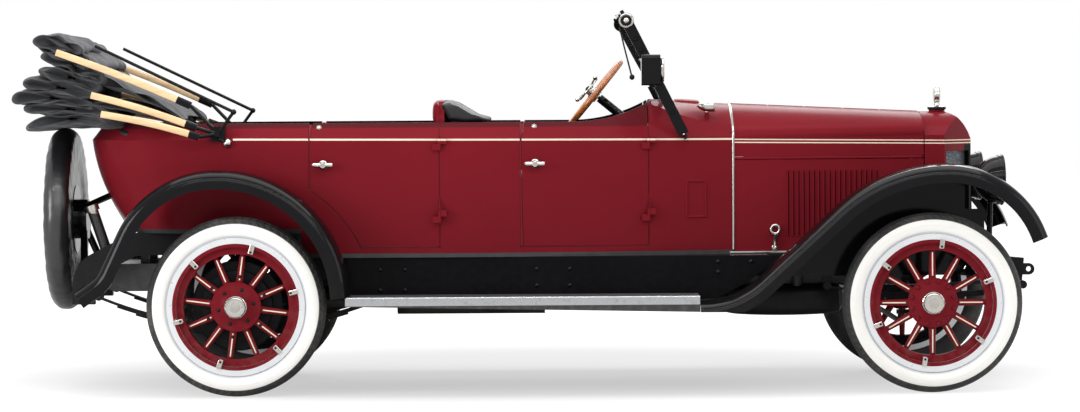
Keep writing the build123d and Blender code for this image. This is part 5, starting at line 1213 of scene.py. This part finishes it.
def pleated_pad(corners, half, facing, soft=0.02, bow=0.0, rows=190, steps=96):
    """A sewn pad: a soft-cornered section carried across the car, drawn in at its ends by
    (1 - |v| ** 8) ** (1 / 8), crowned in the middle, and lowered along |cos(pi y / pitch)| ** 0.5 channels
    where it faces up or forward."""
    pitch, depth = sizes().pleat, sizes().pleat_depth
    loop = soft_loop(corners, steps, soft)
    normals = loop_normals(loop)
    middle = (loop.max(axis=0) + loop.min(axis=0)) / 2
    v = np.sin(np.linspace(-pi / 2, pi / 2, rows))
    y = half * v
    draw = np.maximum(0, 1 - np.abs(v)**8) ** (1 / 8)
    ridge = np.abs(np.cos(pi * y / pitch)) ** 0.5 - 1
    face = np.clip(normals @ np.asarray(facing, float), 0, 1) ** 1.5
    crown = 0.006 * (1 - v**2)
    inside = np.minimum(1, (1 - np.abs(v)) * half / 0.03)
    lift = (depth * ridge * inside + crown)[:, None] * face[None]
    section = middle + (loop - middle)[None] * draw[:, None, None] + normals[None] * lift[:, :, None]
    points = xyz(section[..., 0] + bow * y[:, None]**2, y[:, None], section[..., 1])
    return points.reshape(-1, 3), grid_faces(rows, steps, ring_cols=True)


# Pads: name, section in x and z, half width, side with the pleats in x and z, softness of corners, bow
PADS = (
    ("front_cushion", ((-0.386, 0.948), (0.205, 0.948), (0.212, 1.03), (0.185, 1.060), (-0.386, 1.064)), 0.497,
     (0.0, 1.0), 0.016, 0.0),
    ("front_back", ((-0.401, 1.074), (-0.188, 1.074), (-0.192, 1.24), (-0.200, 1.300), (-0.250, 1.348),
                    (-0.316, 1.388), (-0.360, 1.409), (-0.401, 1.411)), 0.497, (1.0, 0.15), 0.016, 0.0),
    ("front_roll", ((-0.430, 1.398), (-0.418, 1.411), (-0.390, 1.419), (-0.345, 1.404), (-0.252, 1.347),
                    (-0.188, 1.330), (-0.188, 1.312), (-0.300, 1.306), (-0.396, 1.322)), 0.538,
     (1.0, 0.6), 0.012, 0.0),
    ("rear_cushion", ((-1.786, 0.978), (-1.238, 0.978), (-1.234, 1.06), (-1.262, 1.090), (-1.786, 1.094)), 0.497,
     (0.0, 1.0), 0.016, 0.0),
    ("rear_back", ((-2.030, 1.100), (-1.800, 1.100), (-1.830, 1.240), (-1.880, 1.294), (-2.075, 1.294)), 0.485,
     (1.0, 0.15), 0.016, 0.34),
)


class TOURING_OT_seats(bpy.types.Operator):
    """Pleated leather cushions and backs of both seats, and the front seat's painted shoulder"""

    bl_idname = "touring_car.seats"
    bl_label = "Seat Pads"

    def execute(self, context):
        cover = leather_finish("pad_leather")
        for name, corners, half, facing, soft, bow in PADS:
            pad = add_piece(name, pleated_pad(corners, half, facing, soft, bow), cover, crisp=70)
            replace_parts(pad, "seat_cushions")
        low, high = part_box("front_seat_shell")
        half = high[1] - 0.006
        v = np.linspace(-1, 1, 40)
        ends = np.maximum(0.02, 1 - np.abs(v)**14) ** (1 / 14)
        row = xyz(low[0] + 0.002, half * v, high[2] - 0.062)
        shoulder = carried(oval(0.021, 0.058, 2.4, 28), row, ends=ends)
        add_piece("seat_shoulder", shoulder, coach_paint("shoulder_paint"))
        return {"FINISHED"}


# Folds of the top: place along the car, height, half length, half thickness, rise to the rear, half width
FOLDS = (
    (-2.215, 1.342, 0.235, 0.030, -1, 0.575),
    (-2.225, 1.388, 0.215, 0.030, 3, 0.570),
    (-2.298, 1.442, 0.192, 0.037, 6, 0.578),
    (-2.270, 1.492, 0.188, 0.036, 10, 0.568),
    (-2.220, 1.542, 0.160, 0.034, 16, 0.575),
    (-2.200, 1.602, 0.165, 0.038, 22, 0.572),
    (-2.235, 1.657, 0.172, 0.036, 24, 0.568),
    (-2.275, 1.706, 0.125, 0.032, 12, 0.576),
    (-1.905, 1.468, 0.265, 0.016, 24, 0.562),
    (-1.930, 1.395, 0.245, 0.014, 12, 0.560),
)


FOLD_ROWS, FOLD_STEPS = 150, 80
FOLD_FLAT, FOLD_ROLL = 0.84, 0.16
# Creases of a fold: waves across the car, waves round the loop and share of the height
FOLD_CREASES = ((9, 2.0, 1.0), (17, 3.5, 0.6), (31, -5.0, 0.35), (5, 6.0, 0.7), (3, 9.0, 0.5))


def cloth_fold(centre_x, centre_z, half_length, half_thick, rise, half, seed):
    """One fold of the top: a flattened loop |a/l|**2.6 + |b/t|**2.6 = 1 carried across the car, bent by a
    share of (a/l)**2, raised by crossed sine creases with seeded phases, and rolled back into itself at its
    open ends."""
    luck = np.random.default_rng(seed)
    loop = oval(half_length, half_thick, 2.6, FOLD_STEPS)
    normals = loop_normals(loop)
    t = np.linspace(-1, 1, FOLD_ROWS)
    v = np.clip(t / FOLD_FLAT, -1, 1)
    roll = np.clip((np.abs(t) - FOLD_FLAT) / FOLD_ROLL, 0, 1)
    draw = (1 - 0.05 * np.abs(v)**8) * (1 - 0.86 * roll**1.3)
    reach = half * (1 + 0.02 * np.sin(pi * np.clip(roll * 3, 0, 1))) - 0.07 * np.clip(roll * 1.15 - 0.15, 0, 1)
    s = loop[:, 0] / half_length
    lift = np.zeros((FOLD_ROWS, FOLD_STEPS))
    for along, across, height in FOLD_CREASES:
        phase = luck.uniform(0, 2 * pi, 2)
        wave = 0.8 * np.sin(3 * v[:, None] + phase[1])
        lift += height * np.sin(along * v[:, None] + phase[0] + across * s[None] + wave)
    lift *= sizes().crease * 0.45 * (0.6 + 0.7 * np.abs(v[:, None])**3)
    sag = 0.014 * np.sin(2.2 * v + luck.uniform(0, 6)) * (1 - v**2)
    flat = loop[None] * draw[:, None, None] + normals[None] * (lift * draw[:, None])[..., None]
    bend = luck.uniform(-0.030, 0.012) * half_length / 0.2
    a = flat[..., 0] * (1 + 0.06 * np.sin(7 * v + luck.uniform(0, 6)))[:, None]
    b = flat[..., 1] + sag[:, None] + bend * (flat[..., 0] / half_length)**2
    turn = radians(rise)
    x = centre_x - a * cos(turn) + b * sin(turn)
    z = centre_z + a * sin(turn) + b * cos(turn)
    wide = np.sign(t) * np.where(roll > 0, reach, half * np.abs(v))
    y = wide[:, None] * (1 + 0.02 * np.sin(6 * s + luck.uniform(0, 6)))[None]
    return xyz(x, y, z).reshape(-1, 3), grid_faces(FOLD_ROWS, FOLD_STEPS, ring_cols=True)


# Bows: front end and back end in x and z, and distance from the centre plane
BOW_ENDS = (
    ((-1.588, 1.251), (-2.060, 1.364), 0.640),
    ((-1.603, 1.295), (-2.110, 1.456), 0.615),
    ((-1.631, 1.402), (-2.280, 1.664), 0.590),
)


class TOURING_OT_folded_top(bpy.types.Operator):
    """Canvas folds, wooden bows and end ferrules of the lowered top"""

    bl_idname = "touring_car.folded_top"
    bl_label = "Folded Top"

    def execute(self, context):
        c = colours()
        folds = [cloth_fold(*row, seed) for seed, row in enumerate(FOLDS)]
        cloth = add_piece("top_folds", joined(*folds), canvas_finish("top_canvas"), crisp=80)
        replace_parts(cloth, "top_cloth")
        bars, ferrules = [], []
        width = sizes().bow
        for front, back, y in BOW_ENDS:
            share = np.linspace(0, 1, 30)[:, None]
            start, end = np.array((front[0], y, front[1])), np.array((back[0], y, back[1]))
            path = start * (1 - share) + end * share + Z_AXIS * 0.010 * np.sin(pi * share)
            bars.append(carried(oval(0.011, width / 2, 3.2, 20), path))
            ferrules.append(carried(oval(0.0125, width / 2 + 0.0015, 3.2, 20), path[:4]))
        wood = timber("bow_ash", c.bow_wood, (6, 60, 60), 0.3, 0.35)
        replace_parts(add_piece("wooden_bows", mirrored(joined(*bars)), wood), "top_bows")
        black = enamel("ferrule_enamel", c.enamel)
        add_piece("bow_ferrules", mirrored(joined(*ferrules)), black)
        return {"FINISHED"}


COVER_STEPS, COVER_SEED, COVER_CREASE = 320, 11, 0.0011
# Creases of the cover: waves round it, and how far they lean over its radius
COVER_WAVES = ((13, 9.0), (21, -14.0), (34, 20.0), (7, 5.0))


class TOURING_OT_spare(bpy.types.Operator):
    """Creased oilcloth cover of the spare wheel"""

    bl_idname = "touring_car.spare"
    bl_label = "Spare Wheel Cover"

    def execute(self, context):
        low, high = (np.array(v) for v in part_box("spare_wheel"))
        centre = (low + high) / 2
        half, radius = (high[0] - low[0]) / 2, (high[2] - low[2]) / 2
        face = ((0.0, half - 0.006), (radius * 0.55, half - 0.012), (radius * 0.66, half),
                (radius - 0.03, half), (radius, half * 0.45))
        back = tuple((r, -h) for r, h in reversed(face))
        outline = curve_through(face + back, 90, 0.012)
        t = np.linspace(0, 2 * pi, COVER_STEPS, endpoint=False)
        luck = np.random.default_rng(COVER_SEED)
        r, h = outline[:, :1], outline[:, 1:]
        crease = np.zeros((len(outline), COVER_STEPS))
        for waves, skew in COVER_WAVES:
            crease += np.sin(waves * t[None] + skew * r / radius + luck.uniform(0, 6)) * luck.uniform(0.5, 1)
        fade = np.clip(r / radius, 0, 1) ** 2 * np.clip((1.02 - r / radius) * 9, 0.25, 1)
        crease = COVER_CREASE * crease * fade
        side = np.sign(h)
        x = centre[0] + h + crease * side * np.clip(np.abs(h) / half, 0, 1) - 0.003 * side
        out = r - 0.002 + 0.3 * crease
        points = xyz(x, centre[1] + out * np.cos(t)[None], centre[2] + out * np.sin(t)[None])
        part = points.reshape(-1, 3), grid_faces(len(outline), COVER_STEPS, ring_cols=True)
        cover = add_piece("spare_cover", part, oilcloth_finish("cover_oilcloth"), crisp=80)
        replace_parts(cover, "spare_wheel")
        return {"FINISHED"}


RIBS, RIB_Y = 22, (0.600, 0.805)
PAN_X, PAN_LENGTH, PAN_Z = 0.96, 0.60, 0.430
# Bolts of the aprons: x and z
APRON_BOLTS = ((-0.72, 0.50), (-0.72, 0.60), (-0.60, 0.50), (-0.60, 0.60), (0.04, 0.52), (0.04, 0.60),
               (0.20, 0.52), (0.20, 0.60), (0.92, 0.58), (0.92, 0.63), (1.08, 0.63))


class TOURING_OT_boards(bpy.types.Operator):
    """Edge strips and ribs of the running boards, bolts of the aprons and the pan under the engine"""

    bl_idname = "touring_car.boards"
    bl_label = "Running Boards"

    def execute(self, context):
        c = colours()
        low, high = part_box("running_boards")
        length = np.linspace(low[0] + 0.002, high[0] - 0.002, 8)
        edge = xyz(length, high[1] - 0.001, high[2] - 0.020)
        strip = carried(oval(0.004, 0.0205, 6, 20), edge)
        lip = carried(oval(0.012, 0.003, 4, 12), edge + (0, -0.010, 0.0195))
        bright = plated("board_edge", tuple(0.8 * v for v in c.aluminium), (0.18, 0.35), (1, 60, 60))
        add_piece("board_edges", mirrored(joined(strip, lip)), bright)
        across = np.linspace(*RIB_Y, RIBS)
        rib = carried(oval(0.003, 0.0018, 3, 8), xyz(length, 0.0, high[2]))
        ribs = repeated(rib, xyz(0.0, across, 0.0))
        add_piece("board_ribs", mirrored(ribs), rubber_finish("rib_rubber"))
        spots = [skin("splash_aprons", (x, 0.8, z), (0, -1, 0))[0] for x, z in APRON_BOLTS]
        bolts = repeated(dome((0, 0, 0), Y_AXIS, 0.011, 0.007, 12, 4), spots)
        add_piece("apron_bolts", mirrored(bolts), enamel("bolt_enamel", c.enamel))
        share = np.linspace(0, 1, 24)
        keel = xyz(PAN_X + PAN_LENGTH * share, 0.0, PAN_Z - 0.010 * np.sin(pi * share))
        full = np.maximum(0.02, 1 - np.abs(2 * share - 1)**8) ** (1 / 8)
        pan = carried(oval(0.290, 0.078, 5, 36), keel, ends=full)
        add_piece("under_pan", pan, enamel("pan_black", c.chassis, (0.4, 0.6)))
        return {"FINISHED"}


STEER_RIM_R = 0.205
HUB_BOSS = ((0, 0), (0.026, 0), (0.024, 0.012), (0.016, 0.014))
KNOB = ((0, 0), (0.006, 0), (0.006, 0.014), (0.012, 0.018), (0.010, 0.026), (0, 0.027))
PEDAL = ((0, 0), (0.036, 0), (0.038, 0.006), (0.034, 0.012), (0, 0.014))
KNOB_Y, KNOB_Z = (-0.30, 0.20, -0.155), 1.285
PEDAL_Y = (0.22, 0.36)
STICK = oval(0.008, 0.008, steps=10)
LEVER_PATHS = (((0.30, 0.03, 0.700), (0.29, 0.03, 0.90), (0.24, 0.02, 1.08)),
               ((0.27, -0.05, 0.700), (0.25, -0.05, 0.95), (0.20, -0.05, 1.10)))
QUADRANT_TURNS, QUADRANT_REACH = (0.5, -0.6), 0.135
# Gauges on the board: y, z and radius
GAUGES = ((-0.10, 1.32, 0.046), (0.02, 1.32, 0.046), (-0.21, 1.315, 0.030), (0.12, 1.315, 0.030))


class TOURING_OT_controls(bpy.types.Operator):
    """Steering rim and levers, horn button, gauges, gear and brake levers and pedals"""

    bl_idname = "touring_car.controls"
    bl_label = "Driving Controls"

    def execute(self, context):
        c = colours()
        nickel = plated("control_nickel", c.nickel)
        black = enamel("control_enamel", c.enamel)
        column = HINGES["steering_wheel_turn"]
        hub, axis = np.array(column["pos_m"]), unit(column["axis"])
        first, second = square_to(axis)
        top = hub + axis * 0.030
        bright = [washer(top + axis * 0.010, axis, 0.066, 0.0055, 40), turned(HUB_BOSS, top, axis, 32)]
        for turn in QUADRANT_TURNS:
            reach = first * cos(turn) + second * sin(turn)
            tip = top + axis * 0.022 + reach * QUADRANT_REACH
            bright += [bar(top + axis * 0.008, tip, 0.0055), dome(tip, reach, 0.012, 0.014)]
        add_piece("steering_levers", joined(*bright), nickel)
        rim = washer(hub, axis, STEER_RIM_R, 0.0155, 96, 20)
        add_piece("wood_rim", rim, timber("rim_varnish", c.rim_wood, (40, 40, 40)), "steering_wheel")
        horn = dome(top + axis * 0.013, axis, 0.017, 0.012, 24)
        add_piece("horn_button", horn, black, "steering_wheel")
        board_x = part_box("dashboard")[0][0]
        rims, dials = [], []
        for y, z, r in GAUGES:
            place = np.array((board_x, y, z))
            rims.append(washer(place, -X_AXIS, r, 0.006, 40))
            dials.append(dome(place, -X_AXIS, r - 0.002, 0.003, 40))
        for y in KNOB_Y:
            rims.append(turned(KNOB, (board_x, y, KNOB_Z), -X_AXIS, 20))
        levers = [curve_through(corners, 20, 0.08) for corners in LEVER_PATHS]
        sticks = [carried(STICK, lever, up=(0, 1, 0)) for lever in levers]
        rims += [joined(dome(lever[-1], Z_AXIS, 0.020, 0.024), dome(lever[-1], -Z_AXIS, 0.020, 0.010))
                 for lever in levers]
        for y in PEDAL_Y:
            stem = curve_through(((0.66, y, 0.72), (0.60, y, 0.80), (0.54, y, 0.87)), 14, 0.08)
            sticks.append(carried(STICK, stem, up=(0, 1, 0)))
            sticks.append(turned(PEDAL, stem[-1], unit((-0.75, 0, 0.66)), 24))
        add_piece("gauge_rims", joined(*rims), nickel)
        add_piece("gauge_faces", joined(*dials), lens_finish("dial_glass"))
        add_piece("levers_and_pedals", joined(*sticks), black)
        return {"FINISHED"}


CAMERA_PLACE = (0.024, -18.0, 1.473)
CAMERA_DOWN = radians(1.865)
CAMERA_YAW = radians(0.11)
CAMERA_ROLL = 0.0061
CAMERA_LENS = 119.77
# Strength of the white surround: its light on the car, and as it is seen
SURROUND_LIGHT, SURROUND_SEEN = 0.32, 1.0
FLOOR_HALF, FLOOR_LINES, FLOOR_Z = 40, 9, -0.001
# Floor: its two greys; then the painted shadow, a dim oval at a fixed place under and behind the car: its middle,
# its shrink per metre along and across, and its soft edge
PAPER_TONES = ((0.20, 0.20, 0.20, 1), (0.22, 0.22, 0.22, 1))
PAINTED_SHADOW_BACK = 0.75
PAINTED_SHADOW_ALONG, PAINTED_SHADOW_ACROSS = 0.36, 0.50
PAINTED_SHADOW_EDGE = (0.25, 1.8)
# Glow of the floor in the painted shadow's oval and beyond it: to the camera, and to every other ray
FLOOR_SEEN = (0.52, 0.95)
FLOOR_BOUNCE = (0.0, 0.80)
# Lamps: name, place, target, width and height, watts
LAMPS = (
    ("overhead", (0.0, -0.4, 6.0), (0.0, 0.0, 0.4), (9.0, 4.5), 390),
    ("near_side", (0.6, -9.0, 5.2), (0.0, 0.0, 0.9), (9.0, 3.0), 220),
    ("near_strip", (0.0, -4.4, 4.6), (0.0, 0.0, 0.9), (8.5, 0.10), 85),
    ("far_side", (0.0, 8.0, 5.2), (0.0, 0.0, 0.9), (9.0, 3.0), 260),
    ("ahead", (8.0, -3.0, 3.5), (0.5, 0.0, 0.7), (4.0, 4.0), 90),
    ("behind", (-7.0, -5.0, 2.6), (-1.8, 0.0, 0.9), (3.0, 3.0), 300),
)


class TOURING_OT_stage(bpy.types.Operator):
    """Pale floor with a painted shadow, white surround, soft lamps and the side-on camera"""

    bl_idname = "touring_car.stage"
    bl_label = "Stage"

    def execute(self, context):
        scene = context.scene
        scene.view_settings.view_transform = "Standard"
        world = bpy.data.worlds.new("white_surround")
        scene.world = world
        world.use_nodes = True
        tree = world.node_tree
        surround = tree.nodes["Background"]
        path = tree.nodes.new("ShaderNodeLightPath")
        seen = path.outputs["Is Camera Ray"]
        for ray in ("Is Glossy Ray", "Is Transmission Ray"):
            either = tree.nodes.new("ShaderNodeMath")
            either.operation = "MAXIMUM"
            tree.links.new(seen, either.inputs[0])
            tree.links.new(path.outputs[ray], either.inputs[1])
            seen = either.outputs[0]
        strength = tree.nodes.new("ShaderNodeMapRange")
        for socket, value in zip(strength.inputs[1:], (0.0, 1.0, SURROUND_LIGHT, SURROUND_SEEN)):
            socket.default_value = value
        tree.links.new(seen, strength.inputs[0])
        tree.links.new(strength.outputs[0], surround.inputs["Strength"])
        surround.inputs["Color"].default_value = (1, 1, 1, 1)
        lines = np.linspace(-FLOOR_HALF, FLOOR_HALF, FLOOR_LINES)
        u, v = np.meshgrid(lines, lines, indexing="ij")
        points = xyz(u, v, FLOOR_Z).reshape(-1, 3)
        mesh = bpy.data.meshes.new("studio_floor")
        mesh.from_pydata(points.tolist(), [], grid_faces(FLOOR_LINES, FLOOR_LINES).tolist())
        floor = put_in_scene("studio_floor", mesh)
        mesh.materials.append(self.floor_finish())
        for name, place, target, size, power in LAMPS:
            data = bpy.data.lights.new(name, "AREA")
            data.shape = "RECTANGLE"
            data.size, data.size_y = size
            data.energy = power
            lamp = put_in_scene(name, data)
            lamp.location = place
            lamp.rotation_mode = "QUATERNION"
            lamp.rotation_quaternion = (Vector(target) - Vector(place)).to_track_quat("-Z", "Y")
        level = cos(CAMERA_DOWN)
        ahead = np.array((sin(CAMERA_YAW) * level, cos(CAMERA_YAW) * level, -sin(CAMERA_DOWN)))
        right = unit(np.cross(ahead, Z_AXIS))
        up = np.cross(right, ahead)
        right, up = (right * cos(CAMERA_ROLL) - up * sin(CAMERA_ROLL),
                     up * cos(CAMERA_ROLL) + right * sin(CAMERA_ROLL))
        data = bpy.data.cameras.new("side_camera")
        data.lens = CAMERA_LENS
        data.sensor_width = 36
        data.clip_end = 200
        camera = put_in_scene("side_camera", data)
        turn = Matrix((right, up, -ahead)).transposed().to_4x4()
        camera.matrix_world = Matrix.Translation(CAMERA_PLACE) @ turn
        scene.camera = camera
        return {"FINISHED"}

    def floor_finish(self):
        """Grey paper that glows: white to the camera away from the car, and with a painted shadow, a soft oval of
        weaker glow under and behind the car's place at rest. Beyond that oval it also lends an even bounce to
        every other ray, so it lights the car from below; inside the oval it lends none, which paints that shadow
        for the car's underside too."""
        paper = Finish("floor_paper")
        tone = paper.mix(paper.noise(0.8, 2), *PAPER_TONES)
        material = paper.done(tone, 0.9)
        tree = paper.tree
        glow = tree.nodes.new("ShaderNodeEmission")
        camera_ray = tree.nodes.new("ShaderNodeLightPath").outputs["Is Camera Ray"]
        x, y, _ = paper.axes()
        # Painted shadow: the glow is cut in an oval fixed under and behind the car, not cast by it
        behind = paper.times(paper.minus(y, PAINTED_SHADOW_BACK), PAINTED_SHADOW_ACROSS)
        far = paper.plus(paper.math("POWER", paper.times(x, PAINTED_SHADOW_ALONG), 2.0),
                         paper.math("POWER", behind, 2.0))
        outside_painted_shadow = paper.mask(far, *PAINTED_SHADOW_EDGE)
        seen = paper.times(camera_ray, paper.level(outside_painted_shadow, *FLOOR_SEEN))
        bounced = paper.times(paper.minus(1.0, camera_ray), paper.level(outside_painted_shadow, *FLOOR_BOUNCE))
        tree.links.new(paper.plus(seen, bounced), glow.inputs["Strength"])
        both = tree.nodes.new("ShaderNodeAddShader")
        tree.links.new(paper.shader.outputs[0], both.inputs[0])
        tree.links.new(glow.outputs[0], both.inputs[1])
        tree.links.new(both.outputs[0], tree.nodes["Material Output"].inputs["Surface"])
        return material


STEPS = (
    TOURING_OT_finishes, TOURING_OT_wheel_trim, TOURING_OT_door_handles, TOURING_OT_door_seals,
    TOURING_OT_hood_trim, TOURING_OT_lamps_and_shield, TOURING_OT_seats, TOURING_OT_folded_top,
    TOURING_OT_spare, TOURING_OT_boards, TOURING_OT_controls, TOURING_OT_stage,
)


class TOURING_PT_panel(bpy.types.Panel):
    """Sidebar panel with the car's colours, sizes and steps"""

    bl_idname = "TOURING_PT_panel"
    bl_label = "Touring Car"
    bl_space_type = "VIEW_3D"
    bl_region_type = "UI"
    bl_category = "Touring Car"

    def draw(self, context):
        for group in (colours(), sizes()):
            column = self.layout.column(align=True)
            for name in group.__annotations__:
                column.prop(group, name)
        for step in STEPS:
            self.layout.operator(step.bl_idname)


CLASSES = (TouringCarColours, TouringCarSizes, *STEPS, TOURING_PT_panel)


def register():
    """Makes the classes and their settings known to Blender."""
    for made in CLASSES:
        bpy.utils.register_class(made)
    bpy.types.Scene.touring_car_colours = PointerProperty(type=TouringCarColours)
    bpy.types.Scene.touring_car_sizes = PointerProperty(type=TouringCarSizes)


def unregister():
    """Removes the settings and classes again."""
    del bpy.types.Scene.touring_car_sizes
    del bpy.types.Scene.touring_car_colours
    for made in reversed(CLASSES):
        bpy.utils.unregister_class(made)


def main():
    """Builds the dressed car step by step."""
    register()
    for step in STEPS:
        group, name = step.bl_idname.split(".")
        getattr(getattr(bpy.ops, group), name)()


if __name__ == "__main__":
    main()
